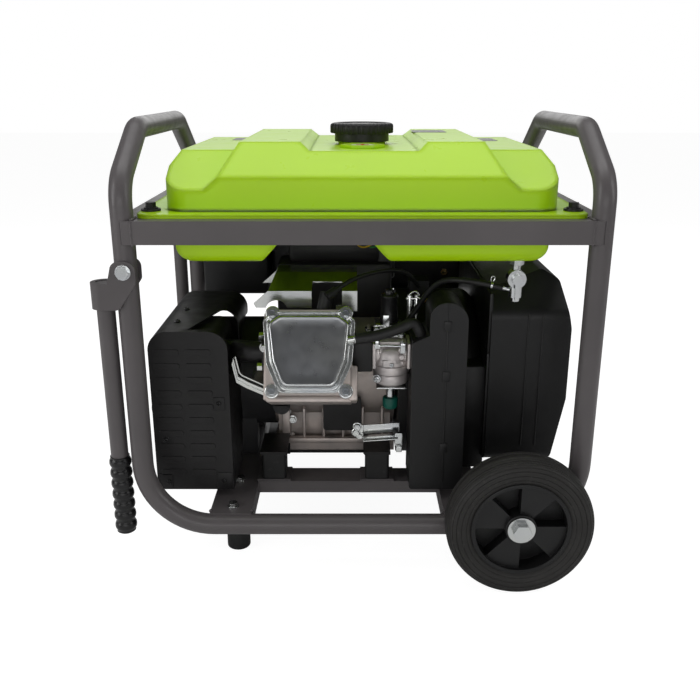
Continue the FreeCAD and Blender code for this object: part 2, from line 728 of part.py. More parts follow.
def fuel_valve():
    """Tap under the tank: stem, round body and a spigot towards the engine."""
    top = V(TAP_X, TAP_Y, TANK_BOTTOM_Z)
    nut = turned(hexagon(19, 9), top - V(0, 0, 9.2), UP)
    stem = rod(top - V(0, 0, 66), top + V(0, 0, 4), 6)
    body = rod(V(TAP_X, TAP_Y - 10, 455), V(TAP_X, TAP_Y + 8, 455), 14)
    cup = rod(V(TAP_X, TAP_Y, 426), V(TAP_X, TAP_Y, 444), 10)
    run = (FUEL_ROUTE[1] - FUEL_ROUTE[0]).normalize()
    spigot = rod(FUEL_ROUTE[0] - run * 18, FUEL_ROUTE[0], 3.2)
    barrel = rod(V(TAP_X, TAP_Y - 13, 455), V(TAP_X, TAP_Y - 10, 455), 8)
    return nut.fuse([stem, body, cup, spigot, barrel])


def fuel_valve_lever():
    """Lever on the face of the tap, hanging down when the fuel is on."""
    y = TAP_Y - 13 - BODY_GAP
    hub = rod(V(TAP_X, y - 5, 455), V(TAP_X, y, 455), 8)
    arm = plate(in_xz(y - 4, [(TAP_X - 4, 455), (TAP_X + 4, 455), (TAP_X + 3, 423), (TAP_X - 3, 423)]),
                V(0, 3.5, 0), [0, 0, 2, 2])
    return hub.fuse(arm)


def fuel_hose():
    """Rubber hose from the tap to the carburettor."""
    return swept(FUEL_ROUTE, easy_bends(FUEL_ROUTE), FUEL_HOSE_R)


# ---------------------------------------------------------------- engine

def mount_points(z):
    return [V(x, CRANK_Y + side * ENGINE_RAIL_OFF, z) for x in MOUNT_X for side in (-1, 1)]


def mount_plates():
    """Steel base plates of the rubber mounts."""
    low = ENGINE_RAIL_Z[1]
    return [box((p.x - 28, p.x + 28), (p.y - 24, p.y + 24), (low, low + MOUNT_PLATE))
            for p in mount_points(low)]


def engine_mounts():
    """Rubber blocks between the engine rails and the cradle."""
    low = ENGINE_RAIL_Z[1] + MOUNT_PLATE
    dx, dy = MOUNT_SIZE[0] / 2, MOUNT_SIZE[1] / 2
    blocks = []
    for p in mount_points(low):
        plan = in_xy(low, [(p.x - dx, p.y - dy), (p.x + dx, p.y - dy), (p.x + dx, p.y + dy), (p.x - dx, p.y + dy)])
        blocks.append(plate(plan, V(0, 0, MOUNT_Z - low), 5))
    return blocks


def case_bolt_points(z):
    return [V(x, y, z) for x in (CASE_X[0] + 28, CASE_X[1] - 40) for y in (CRANK_Y - 91, CRANK_Y + 91)]


def engine_cradle():
    """Steel pan under the engine, with an arm out to each mount."""
    top = CASE_FOOT_Z
    pan = box((MOUNT_X[0] - 24, MOUNT_X[1] + 24), (CRANK_Y - 104, CRANK_Y + 104), (top - CRADLE_PLATE, top))
    arms = []
    for p in mount_points(MOUNT_Z):
        side = math.copysign(1, p.y - CRANK_Y)
        inner = CRANK_Y + side * 104
        wall = box((p.x - 22, p.x + 22), sorted((inner, inner + side * CRADLE_PLATE)),
                   (top - CRADLE_PLATE, MOUNT_Z + CRADLE_PLATE))
        arm = box((p.x - 22, p.x + 22), sorted((inner, p.y + side * 22)),
                  (MOUNT_Z, MOUNT_Z + CRADLE_PLATE))
        arms += [wall, arm]
    holes = [rod(p, p + V(0, 0, 30), 4 + HOLE_PLAY) for p in case_bolt_points(top - 20)]
    return pan.fuse(arms).cut(holes)


def crankcase():
    """Cast crankcase with its foot flange and the finned barrel."""
    x0, x1 = CASE_X
    body = crank_rod((x0, x1), CASE_R)
    base = box((x0 + 6, x1 - 6), (CRANK_Y - 80, CRANK_Y + 80), (CASE_FOOT_Z, CRANK_Z))
    foot = box((x0, x1), (CRANK_Y - 102, CRANK_Y + 102), (CASE_FOOT_Z, CASE_FOOT_Z + 18))
    block = on_cylinder(box((-BORE_BLOCK + 8, BORE_BLOCK - 8), (-BORE_BLOCK + 8, BORE_BLOCK - 8), (20, HEAD[0])))
    parts = [base, foot, block]
    step = 10.0
    for k in range(int((BARREL[1] - BARREL[0]) / step)):
        low = BARREL[0] + 6 + k * step
        parts.append(on_cylinder(box((-BORE_BLOCK, BORE_BLOCK), (-BORE_BLOCK, BORE_BLOCK), (low, low + 2.5))))
    boss = rod(V(x0 + 14, CRANK_Y - 60, 199), V(x0 + 14, CRANK_Y - 101, 204), 16)
    parts.append(governor_post())
    holes = [rod(p, p + V(0, 0, 30), 4 + HOLE_PLAY) for p in case_bolt_points(CASE_FOOT_Z - 5)]
    shaft = crank_rod((x0 - 5, x1 + 5), SHAFT_R + RUNNING)
    web_room = crank_rod((CYL_X - 45, CYL_X + 45), 62)
    bore = on_cylinder(Part.makeCylinder(44, HEAD[0] + 2))
    seat, out = dipstick_line()
    stick = rod(seat - out * 75, seat + out * 2, STICK_R)
    return body.fuse(parts).cut(holes + [shaft, web_room, bore, stick])


def crankcase_bolts():
    """Bolts through the foot flange into the cradle."""
    seat = CASE_FOOT_Z + 18
    return [bolt(p, UP, 4, 18 + CRADLE_PLATE + 2, 13, 6, 9, 1.5) for p in case_bolt_points(seat)]


def dipstick_line():
    """Seat of the filler plug on its boss, and the direction it faces."""
    x = CASE_X[0] + 14
    return V(x, CRANK_Y - 101.4, 204.05), V(0, -41, 5).normalize()


def oil_dipstick():
    """Screw-in filler plug with its measuring blade."""
    start, out = dipstick_line()
    knob = rod(start, start + out * 9, 15)
    grip = turned(Part.makeBox(24, 5, 9, V(-12, -2.5, 0)), start + out * 9, out)
    stem = rod(start - out * 30, start, STICK_R - BODY_GAP)
    return knob.fuse([grip, stem])


def cylinder_head():
    """Finned head with the inlet and exhaust ports."""
    half = HEAD_BLOCK
    low, high = HEAD
    core = on_cylinder(box((-half + 6, half - 6), (-half + 6, half - 6), (low, high)))
    parts = [on_cylinder(box((-half, half), (-half, half), (high - 12, high)))]
    for k in range(4):
        base = low + 4 + k * 11
        parts.append(on_cylinder(box((-half, half), (-half - 4, half + 4), (base, base + 3))))
    inlet = rod(V(CYL_X + half - 12, CARB_Y, CARB_Z), V(CYL_X + half, CARB_Y, CARB_Z), 20)
    outlet = rod(V(CYL_X - half + 12, CARB_Y, CARB_Z), V(CYL_X - half, CARB_Y, CARB_Z), 24)
    bores = [rod(V(CYL_X + half - 30, CARB_Y, CARB_Z), V(CYL_X + half + 1, CARB_Y, CARB_Z), 13),
             rod(V(CYL_X - half + 30, CARB_Y, CARB_Z), V(CYL_X - half - 1, CARB_Y, CARB_Z), 13)]
    studs = [on_cylinder(Part.makeCylinder(3 + HOLE_PLAY, 30, V(x, y, high - 20))) for x, y in ear_places()]
    plug = [spark_plug_rod(6 + HOLE_PLAY, -20, 1), spark_plug_rod(12.5, 0, 40)]
    lug = box((SHROUD_X[1] - 24, SHROUD_X[1] - 10), (SHROUD_Y[0] + SHEET, SHROUD_Y[0] + 12),
              (SHROUD_Z[0] - 18, SHROUD_Z[0] + 2))
    return core.fuse(parts + [inlet, outlet, lug]).cut(bores + studs + plug)


def ear_places():
    return [(a * COVER_EAR[0], b * COVER_EAR[1]) for a in (-1, 1) for b in (-1, 1)]


def valve_cover():
    """Pressed cover with four ears, tapering towards its lower edge."""
    high = HEAD[1]
    wide, tall = COVER_HALF
    outline = [(-wide, tall - 22), (-wide + 8, tall), (wide - 8, tall), (wide, tall - 22), (wide - 2, 0),
               (COVER_EAR[0] - 4, -tall), (-COVER_EAR[0] + 4, -tall), (-wide + 2, 0)]
    flange = plate(in_xy(high, outline), V(0, 0, 3.5), [14, 6, 6, 14, 20, 10, 10, 20])
    ears = [Part.makeCylinder(11, 5, V(x, y, high)) for x, y in ear_places()]
    dome = dome_body(0)
    hollow = dome_body(SHEET)
    solid = flange.fuse(ears + [dome]).cut(hollow)
    holes = [Part.makeCylinder(3 + HOLE_PLAY, 20, V(x, y, high - 5)) for x, y in ear_places()]
    run = (BREATHER_ROUTE[1] - BREATHER_ROUTE[0]).normalize()
    nozzle = rod(BREATHER_ROUTE[0] - run * 14, BREATHER_ROUTE[0], BREATHER_R - 2.5)
    return on_cylinder(solid.cut(holes)).fuse(nozzle.cut(on_cylinder(dome_body(SHEET))))


def dome_body(inset):
    """Raised middle of the valve cover in the cylinder's own directions."""
    w = inset
    wide, tall = COVER_HALF[0] - 8 - w, COVER_HALF[1] - 8 - w
    outline = [(-wide, tall - 10), (wide, tall - 10), (wide - 10, -tall + 30), (wide - 32, -tall),
               (-wide + 32, -tall), (-wide + 10, -tall + 30)]
    low = HEAD[1] - (1 if inset else 0)
    high = HEAD[1] + COVER_RISE - w
    return plate(in_xy(low, outline), V(0, 0, high - low), [14 - w, 14 - w, 12, 8, 8, 12])


def valve_cover_bolts():
    """Bolts in the ears of the valve cover."""
    bolts = []
    for x, y in ear_places():
        head = bolt(V(x, y, HEAD[1] + 5), UP, 3, 20, 10, 5, 7.5, 1.5)
        bolts.append(on_cylinder(Part.makeCompound([head])).Solids[0])
    return bolts


def spark_plug_rod(radius, start, end):
    """Round bar along the line of the spark plug, measured out from the head's upper face."""
    foot = at_cylinder(18, HEAD_BLOCK - 6, 228)
    out = (at_cylinder(26, HEAD_BLOCK + 30, 236) - foot).normalize()
    return rod(foot + out * start, foot + out * end, radius)


def spark_plug():
    """Plug with its hexagon and insulator, and the rubber boot with the lead coming out at its top."""
    plug = spark_plug_rod(6, -15, 12).fuse([spark_plug_rod(10, 0.1, 10), spark_plug_rod(5, 10, 30)])
    boot = spark_plug_rod(11, 12, 40)
    run = (LEAD_ROUTE[1] - LEAD_ROUTE[0]).normalize()
    joint = rod(LEAD_ROUTE[0] - run * 18, LEAD_ROUTE[0], 7)
    return plug, boot.fuse(joint).cut([spark_plug_rod(6, 0, 12), spark_plug_rod(5 + RUNNING, 9, 30.1)])


def spark_plug_lead():
    """Ignition lead from the plug boot to the coil."""
    return swept(LEAD_ROUTE, easy_bends(LEAD_ROUTE), LEAD_R)


def ignition_coil():
    """Coil seated on the crown of the blower housing, with a socket for the lead."""
    end = LEAD_ROUTE[-1]
    run = (end - LEAD_ROUTE[-2]).normalize()
    body = box((end.x - 16, end.x + 18), (end.y - 4, end.y + 40), (CRANK_Z + BLOWER_R - 12, end.z + 12))
    socket = rod(end - run * 20, end, LEAD_R + HOLE_PLAY)
    return body.cut([socket, crank_rod((end.x - 30, end.x + 30), BLOWER_R + RUNNING)])


def cylinder_shroud():
    """Bright sheet over the barrel and head, with a notch for the plug and a scalloped lower edge."""
    x0, x1 = SHROUD_X
    front, back = SHROUD_Y
    low, rim = SHROUD_Z
    crown = rim + 11
    outline = [(front, low), (front, rim), (back - 55, crown), (back, crown), (back, rim - 20),
               (back - SHEET, rim - 20), (back - SHEET, crown - SHEET), (back - 55, crown - SHEET),
               (front + SHEET, rim - SHEET), (front + SHEET, low)]
    sheet = plate(in_yz(x0, outline), V(x1 - x0, 0, 0))
    shoulder = [(x0 - 1, low - 1), (x0 + 6, low - 1), (x0 + 2, rim - 20), (x0 + 26, rim + 1),
                (x0 + 40, crown + 19), (x0 - 1, crown + 19)]
    scallop = rod(V(x0 + 38, front - 5, low - 6), V(x0 + 38, front + 10, low - 6), 18)
    notch = [(PLUG_NOTCH_X[0], low - 1), (PLUG_NOTCH_X[1], low - 1), (PLUG_NOTCH_X[1], crown + 19),
             (PLUG_NOTCH_X[0], crown + 19)]
    cuts = [plate(in_xz(front - 1, shoulder), V(0, 300, 0)), scallop,
            plate(in_xz(front - 1, notch), V(0, 44, 0), [0, 0, 10, 10])]
    tab = box((x1 - 34, x1), (front, front + SHEET), (low - 6, low + 4))
    return [sheet.cut(cuts).fuse(tab), lower_air_baffle()]


def lower_air_baffle():
    """Bright strip that wraps under the head."""
    outer = [(-196, 334), (-190, 304), (-128, 274), (-10, 274)]
    inner = [(-10, 274 + SHEET), (-127.5, 274 + SHEET), (-188, 305.5), (-194, 334)]
    strip = plate(in_xz(-204, outer + inner), V(0, 74, 0), [0, 14, 16, 0, 0, 14, 12, 0])
    head_room = on_cylinder(box((-HEAD_BLOCK - 1, HEAD_BLOCK + 1), (-HEAD_BLOCK - 6, 80), (40, 300)))
    pipe_room = box((-200, -150), (CARB_Y - PIPE_R - 2, 0), (296, 400))
    pieces = strip.cut([head_room, pipe_room]).Solids
    return max(pieces, key=lambda piece: piece.Volume)


def crankshaft():
    """Shaft through the crankcase, with its webs, carrying the flywheel and the rotor."""
    main = crank_rod((ALTERNATOR_X[0] + 1, BLOWER_X[1] - 45), SHAFT_R)
    webs = [crank_rod((CYL_X + a, CYL_X + b), 50) for a, b in ((-40, -18), (18, 40))]
    pin = rod(crank_point(CYL_X - 20, 28, 155), crank_point(CYL_X + 20, 28, 155), 14)
    gap = crank_rod((CYL_X - 18, CYL_X + 18), SHAFT_R + 1)
    return main.cut(gap).fuse(webs + [pin])


def flywheel_fan():
    """Flywheel with fan blades on its outer face and a starting cup."""
    x0 = BLOWER_X[0] + 16
    disc = crank_rod((x0, x0 + 26), 105)
    cup = crank_rod((x0 + 26, x0 + 62), 34).cut(crank_rod((x0 + 30, x0 + 63), 30))
    blades = []
    for k in range(16):
        blade = Part.makeBox(28, 42, 3, V(x0 + 26, 60, 0))
        blade.rotate(V(0, 0, 0), V(1, 0, 0), 22.5 * k)
        blade.translate(V(0, CRANK_Y, CRANK_Z))
        blades.append(blade)
    return disc.fuse([cup] + blades).cut(crank_rod((x0 - 2, x0 + 31), SHAFT_R))


def blower_shape(inset):
    """Drum round the flywheel with its floor cut flat above the frame."""
    w = inset
    x = (BLOWER_X[0] + w, BLOWER_X[1] - w)
    drum = crank_rod(x, BLOWER_R - w)
    drum = drum.makeFillet(26 - w, [e for e in drum.Edges if e.BoundBox.XMin > x[1] - 1])
    floor = box((x[0] - 5, x[1] + 5), (-300, 300), (0, 106 + w))
    return drum.cut(floor)


def fan_housing():
    """Blower housing with a round air inlet on its outer face."""
    x0, x1 = BLOWER_X
    shell = blower_shape(0).cut(blower_shape(SHEET + 0.5))
    inlet = crank_rod((x1 - 10, x1 + 5), 72)
    shaft = crank_rod((x0 - 5, x0 + 10), 42)
    return shell.cut([inlet, shaft])


def recoil_housing():
    """Round starter cup on the outer face of the blower housing, with the post for the pulley."""
    x0, x1 = RECOIL_X
    cup = crank_rod((x0, x1), RECOIL_R).cut(crank_rod((x0 - 1, x1 - SHEET - 1), RECOIL_R - SHEET - 1))
    post = crank_rod((PULLEY_X[0] - 3, x1), PULLEY_POST_R)
    rope = rod(V(pulley_mid(), CRANK_Y, rope_z()), V(pulley_mid(), COVER_Y[1], rope_z()), ROPE_R + 3)
    slots = []
    for k in range(12):
        vent = Part.makeBox(20, 28, 8, V(x1 - 8, 48, -4))
        vent.rotate(V(0, 0, 0), V(1, 0, 0), 30 * k)
        vent.translate(V(0, CRANK_Y, CRANK_Z))
        slots.append(vent)
    return cup.cut(slots).fuse(post).cut(rope)


def pulley_mid():
    return (PULLEY_X[0] + PULLEY_X[1]) / 2


def rope_z():
    return CRANK_Z + PULLEY_R


def recoil_pulley():
    """Rope pulley turning on the starter's post."""
    body = crank_rod(PULLEY_X, PULLEY_R + 6)
    groove = crank_rod((pulley_mid() - 4, pulley_mid() + 4), PULLEY_R + 8)
    groove = groove.cut(crank_rod((pulley_mid() - 4, pulley_mid() + 4), PULLEY_R - ROPE_R - BODY_GAP))
    return body.cut([groove, crank_rod((PULLEY_X[0] - 5, PULLEY_X[1] + 5), PULLEY_POST_R + RUNNING)])


def recoil_grip():
    """Pull grip with the straight part of its rope."""
    y = COVER_Y[1] + BODY_GAP
    z = rope_z()
    x = pulley_mid()
    collar = rod(V(x, y, z), V(x, y + 8, z), 10)
    bar = rod(V(x - 34, y + 15, z), V(x + 34, y + 15, z), 8)
    rope = rod(V(x, CRANK_Y + 4, z), V(x, y + 10, z), ROPE_R)
    return collar.fuse([bar, rope])


def cover_shape(inset):
    """Large moulded duct at the recoil end: bevelled seen from the rear and from the end."""
    w = inset
    x0, x1 = COVER_X
    low, high = COVER_Z[0] + w, COVER_Z[1] - w
    start = x0 - (1 if inset else 0)
    end_on = [(start, low), (x1 - 20 - w, low), (x1 - w, low + 110), (x1 - w, high - 84), (x1 - 14 - w, high - 14),
              (x1 - 40 - w, high), (start, high - 26)]
    y0, y1 = COVER_Y[0] + w, COVER_Y[1] - w
    face_on = [(y0, low), (y1, low), (y1, high - 60), (y1 - 60, high), (y0 + 60, high), (y0, high - 60)]
    along = plate(in_xz(-400, end_on), V(0, 800, 0), [0, 12 - w, 30, 30, 12, 12, 0])
    across = plate(in_yz(0, face_on), V(500, 0, 0), [16 - w, 16 - w, 24, 24, 24, 24])
    return along.common(across)


def end_cover():
    """Moulded plastic air duct over the recoil starter, with louvres in its outer face."""
    shell = cover_shape(0).cut(cover_shape(COVER_WALL))
    rope = rod(V(pulley_mid(), COVER_Y[1] - 20, rope_z()), V(pulley_mid(), COVER_Y[1] + 5, rope_z()), ROPE_R + 1)
    slots = []
    for k in range(9):
        z = CRANK_Z - 52 + 14 * k
        slots.append(box((COVER_X[1] - 30, COVER_X[1] + 5), (CRANK_Y - 70, CRANK_Y + 70), (z, z + 6)))
    return shell.cut(slots + [rope])


def cover_bushes():
    """Rubber bushes that carry the end cover on the blower housing."""
    bushes = []
    for degrees in (45, 135, 220, 320):
        start = crank_point(BLOWER_X[1], 112, degrees)
        bush = rod(start, V(COVER_X[1], start.y, start.z), 6)
        inside = cover_shape(COVER_WALL).fuse(box((BLOWER_X[1], COVER_X[0]), (-300, 300), (0, 600)))
        bushes.append(bush.common(inside))
    return bushes


def alternator_housing():
    """Stator can between the engine and a vented end bell."""
    x0, x1 = ALTERNATOR_X
    can = crank_rod((x0, x1), ALTERNATOR_R)
    can = can.makeFillet(14, [e for e in can.Edges if e.BoundBox.XMax < x0 + 1])
    core = crank_rod((x0 + 8, x1 + 1), 66)
    bearing = crank_rod((x0 - 5, x0 + 12), SHAFT_R + RUNNING)
    slots = []
    for k in range(10):
        vent = Part.makeBox(30, 26, 9, V(x0 - 5, 34, -4.5))
        vent.rotate(V(0, 0, 0), V(1, 0, 0), 36 * k)
        vent.translate(V(0, CRANK_Y, CRANK_Z))
        slots.append(vent)
    leg_x = (MEMBER_X[0][0] + 5, MEMBER_X[0][1] - 12)
    legs = box(leg_x, (CRANK_Y - 70, CRANK_Y + 70), (MEMBER_Z[1], CRANK_Z - 50))
    window = box((leg_x[0] - 1, leg_x[1] + 1), (CRANK_Y - 40, CRANK_Y + 40), (MEMBER_Z[1] + 8, CRANK_Z - 85))
    legs = legs.cut(window)
    return can.fuse(legs).cut([core, bearing] + slots)


def alternator_rotor():
    """Rotor body on the shaft."""
    x0, x1 = ALTERNATOR_X
    return crank_rod((x0 + 34, x1 - 14), 65).cut(crank_rod((x0, x1), SHAFT_R))


def muffler():
    """Round-cornered silencer box near the rear face."""
    y = (SHIELD_Y[0] + 14, CRANK_Y - ALTERNATOR_R - 8)
    x = (SHIELD_X[0] + 14, SHIELD_X[1] - 10)
    z = (206, SHIELD_Z[1] - SHEET - 7)
    outline = in_xz(y[0], [(x[0], z[0]), (x[1], z[0]), (x[1], z[1]), (x[0], z[1])])
    body = plate(outline, V(0, y[1] - y[0], 0), 20)
    room = in_xz(y[0] + SHEET, [(x[0] + SHEET, z[0] + SHEET), (x[1] - SHEET, z[0] + SHEET),
                                (x[1] - SHEET, z[1] - SHEET), (x[0] + SHEET, z[1] - SHEET)])
    hollow = plate(room, V(0, y[1] - y[0] - 2 * SHEET, 0), 18)
    lugs = [box((x[0] + 16, x[0] + 36), (at, at + 16), (z[1] - 1, SHIELD_Z[1] - SHEET))
            for at in (y[0] + 10, y[1] - 26)]
    outlet = rod(V(x[0] + 1, OUTLET_Y, OUTLET_Z), V(SHIELD_X[0] - 6, OUTLET_Y, OUTLET_Z), OUTLET_R)
    bore = rod(V(x[0] + 5, OUTLET_Y, OUTLET_Z), V(SHIELD_X[0] - 8, OUTLET_Y, OUTLET_Z), OUTLET_BORE_R)
    return body.fuse(lugs + [outlet]).cut([bore, hollow])


def exhaust_pipe():
    """Short bent pipe with its flange on the head."""
    port = V(CYL_X - HEAD_BLOCK, CARB_Y, CARB_Z)
    muffler_x = SHIELD_X[1] - 10
    flange = plate(in_yz(port.x - 8, [(port.y - 26, port.z - 26), (port.y + 26, port.z - 26),
                                      (port.y + 26, port.z + 26), (port.y - 26, port.z + 26)]), V(8, 0, 0), 12)
    target = V(muffler_x, port.y + 28, port.z - 6)
    route = [port - V(2, 0, 0), port - V(34, 0, 0), target + V(16, 0, 0), target]
    pipe = swept(route, [0, 26, 26, 0], PIPE_R)
    return flange.fuse(pipe)


def exhaust_nuts():
    """Nuts on the flange studs of the exhaust pipe."""
    nuts = []
    for dy, dz in ((-19, -19), (19, 19)):
        seat = V(CYL_X - HEAD_BLOCK - 8, CARB_Y + dy, CARB_Z + dz)
        nuts.append(turned(hexagon(12, 8), seat, V(-1, 0, 0)))
    return nuts


def shield_section(inset, low):
    x0, x1 = SHIELD_X[0] + inset, SHIELD_X[1] - inset
    top = SHIELD_Z[1] - inset
    return [(x0, low), (x0, top), (x1, top), (x1, low)], [0, SHIELD_CORNER - inset, SHIELD_CORNER - inset, 0]


def muffler_shield():
    """Sheet guard: rear face with embossed slots, arched top with a cut-out, short side walls."""
    y0, y1 = SHIELD_Y
    outline, radii = shield_section(0, SHIELD_Z[0])
    inner, inner_radii = shield_section(SHEET, SHIELD_Z[0] - 1)
    skin = plate(in_xz(y0, outline), V(0, y1 - y0, 0), radii)
    hollow = plate(in_xz(y0 + SHEET, inner), V(0, y1 - y0, 0), inner_radii)
    guard = skin.cut(hollow)
    x0, x1 = SHIELD_X
    opening = plate(in_xy(300, [(-268, y0 + 12), (x1 + 5, y0 + 12), (x1 + 5, -70), (-232, -70)]), V(0, 0, 100),
                    [0, 0, 0, 16])
    gap = plate(in_yz(x1 - 20, [(y0 + 12, 325), (-70, 325), (-70, 400), (y0 + 12, 400)]), V(30, 0, 0))
    can = crank_rod((x0 - 5, x1 + 5), ALTERNATOR_R + 5)
    side_cut = plate(in_yz(x1 - 10, [(-30, 60), (-96, 60), (-96, 108), (-34, 310), (y1 + 1, 338), (y1 + 1, 60)]),
                     V(20, 0, 0))
    far_cut = box((x0 - 5, x0 + 10), (-96, y1 + 1), (60, 320))
    guard = guard.cut([opening, gap, can, side_cut, far_cut])
    slots = []
    for column in (-301.5, -252.5):
        for row in range(10):
            z = 134 + 22.5 * row
            slots.append(plate(in_xz(y0 - 1.2, [(column - 20, z), (column + 20, z), (column + 20, z + 10),
                                                (column - 20, z + 10)]), V(0, 1.2, 0), 4))
    outlet = rod(V(x0 - 10, OUTLET_Y, OUTLET_Z), V(x0 + 10, OUTLET_Y, OUTLET_Z), OUTLET_R + 3)
    return guard.fuse(slots).cut(outlet)


# ---------------------------------------------------------------- intake side

def carburetor():
    """Insulator, carburettor body, float bowl and shut-off solenoid."""
    face = CYL_X + HEAD_BLOCK
    x0, x1 = CARB_X
    axis = V(0, CARB_Y, CARB_Z)
    block = box((face, x0), (CARB_Y - 26, CARB_Y + 26), (CARB_Z - 26, CARB_Z + 24))
    body = rod(axis + V(x0, 0, 0), axis + V(x1, 0, 0), 20)
    ends = [box((x0, x0 + 6), (CARB_Y - 27, CARB_Y + 27), (CARB_Z - 22, CARB_Z + 22)),
            box((x1 - 6, x1), (CARB_Y - 27, CARB_Y + 27), (CARB_Z - 22, CARB_Z + 22))]
    mid = (x0 + x1) / 2
    bowl = rod(V(mid, CARB_Y, CARB_Z - 54), V(mid, CARB_Y, CARB_Z + 4), BOWL_R - 1)
    base = rod(V(mid, CARB_Y, CARB_Z - 68), V(mid, CARB_Y, CARB_Z - 54), BOWL_R - 9)
    solenoid = rod(V(mid, CARB_Y, CARB_Z - 110), V(mid, CARB_Y, CARB_Z - 68), 10)
    run = (FUEL_ROUTE[-1] - FUEL_ROUTE[-2]).normalize()
    elbow = FUEL_ROUTE[-1] + run * 12
    barb = rod(elbow, FUEL_ROUTE[-1], 3.2)
    link = rod(V(elbow.x, CARB_Y, elbow.z - 6), elbow, 4)
    post = rod(V(choke_x(), CARB_Y, CARB_Z), V(choke_x(), CARB_Y, CARB_Z + 30), 4)
    return block, body.fuse(ends + [bowl, base, solenoid, link, barb, post])


def choke_x():
    return CARB_X[1] - 14


def choke_lever():
    """Lever on top of the carburettor."""
    low = CARB_Z + 24
    hub = ring(V(choke_x(), CARB_Y, low), V(choke_x(), CARB_Y, low + 5), 7, 4 + RUNNING)
    arm = box((choke_x() - 32, choke_x() - 5.5), (CARB_Y - 4, CARB_Y + 4), (low + 1, low + 3.5))
    return hub.fuse(arm)


def governor_arm():
    """Arm on the governor shaft, rising behind the carburettor."""
    x, y = CASE_X[1] - 44, CRANK_Y - 60
    low = CRANK_Z + 92
    hub = ring(V(x, y, low), V(x, y, low + 6), 8, 4 + RUNNING)
    arm = box((x - 5, x + 5), (y - 98, y - 4.5), (low + 1, low + 4))
    return hub.fuse(arm)


def governor_post():
    """Shaft that the governor arm turns on, standing on the crankcase."""
    x, y = CASE_X[1] - 44, CRANK_Y - 60
    return rod(V(x, y, CRANK_Z + 60), V(x, y, CRANK_Z + 104), 4)


def airbox_outline(inset):
    """Outline of the air cleaner seen from the rear."""
    w = inset
    x0, x1 = AIRBOX_X
    low, high = AIRBOX_Z
    points = [(x0 + w, low + w), (x1 - w, low + w), (x1 - w, high - w), (SHELF_X + w, high - w),
              (SHELF_X + w, SHELF_Z[1] - w), (x0 + w, SHELF_Z[0] - w)]
    return points, [5, 8, 30 - w, 24 - w, 0, 3]


def airbox_body(inset, x_limits):
    points, radii = airbox_outline(inset)
    y = (AIRBOX_Y[0] + inset, AIRBOX_Y[1] - inset)
    whole = plate(in_xz(y[0], points), V(0, y[1] - y[0], 0), radii)
    return whole.common(box(x_limits, (-400, 100), (0, 600)))


def air_cleaner_base():
    """Inner half of the air cleaner, bolted to the carburettor."""
    limits = (AIRBOX_X[0] - 1, AIRBOX_SPLIT_X)
    shell = airbox_body(0, limits).cut(airbox_body(2.5, (limits[0], limits[1] + 1)))
    inlet = rod(V(AIRBOX_X[0] - 1, CARB_Y, CARB_Z), V(AIRBOX_X[0] + 6, CARB_Y, CARB_Z), 14)
    return shell.cut(inlet)


def air_cleaner_cover():
    """Outer half of the air cleaner."""
    limits = (AIRBOX_SPLIT_X + 0.2, AIRBOX_X[1] + 1)
    return airbox_body(0, limits).cut(airbox_body(2.5, (limits[0] - 1, limits[1])))


def breather_hose():
    """Thick hose from the valve cover to the shelf of the air cleaner."""
    return swept(BREATHER_ROUTE, BREATHER_BENDS, BREATHER_R)


# ---------------------------------------------------------------- control panel

def control_panel():
    """Open-backed box under the front rail with holes for what it carries."""
    outer = box(PANEL_X, PANEL_Y, PANEL_Z)
    inner = box((PANEL_X[0] + PANEL_WALL, PANEL_X[1] - PANEL_WALL), (PANEL_Y[0] - 1, PANEL_Y[1] - PANEL_WALL),
                (PANEL_Z[0] + PANEL_WALL, PANEL_Z[1] - PANEL_WALL))
    shell = outer.makeFillet(8, [e for e in outer.Edges if e.BoundBox.YMin > PANEL_Y[1] - 1]).cut(inner)
    y = (PANEL_Y[1] - 20, PANEL_Y[1] + 5)
    holes = [rod(V(x, y[0], SOCKET_AT_Z), V(x, y[1], SOCKET_AT_Z), SOCKET_BORE_R + 3) for x in SOCKET_X]
    for x, z, half_x, half_z in (SWITCH_AT, BREAKER_AT):
        holes.append(box((x - half_x - 1, x + half_x + 1), y, (z - half_z - 1, z + half_z + 1)))
    holes.append(rod(V(METER_AT[0], y[0], METER_AT[1]), V(METER_AT[0], y[1], METER_AT[1]), METER_R))
    holes.append(rod(V(EARTH_AT[0], y[0], EARTH_AT[1]), V(EARTH_AT[0], y[1], EARTH_AT[1]), EARTH_R + HOLE_PLAY))
    tabs = []
    for x, reach in ((PANEL_X[0], -FRAME_X + 8), (PANEL_X[1], PANEL_X[1] + 12)):
        tabs.append(box(sorted((x, reach)), (PANEL_Y[0], PANEL_Y[0] + 4), (470, 515)))
    hangers = [box((x - 14, x + 14), (PANEL_Y[1] - 22, PANEL_Y[1] - 18), (PANEL_Z[1], RAIL_Z[0]))
               for x in (-250, -40, 170)]
    return shell.cut(holes).fuse(tabs + hangers).cut(upright_cores())


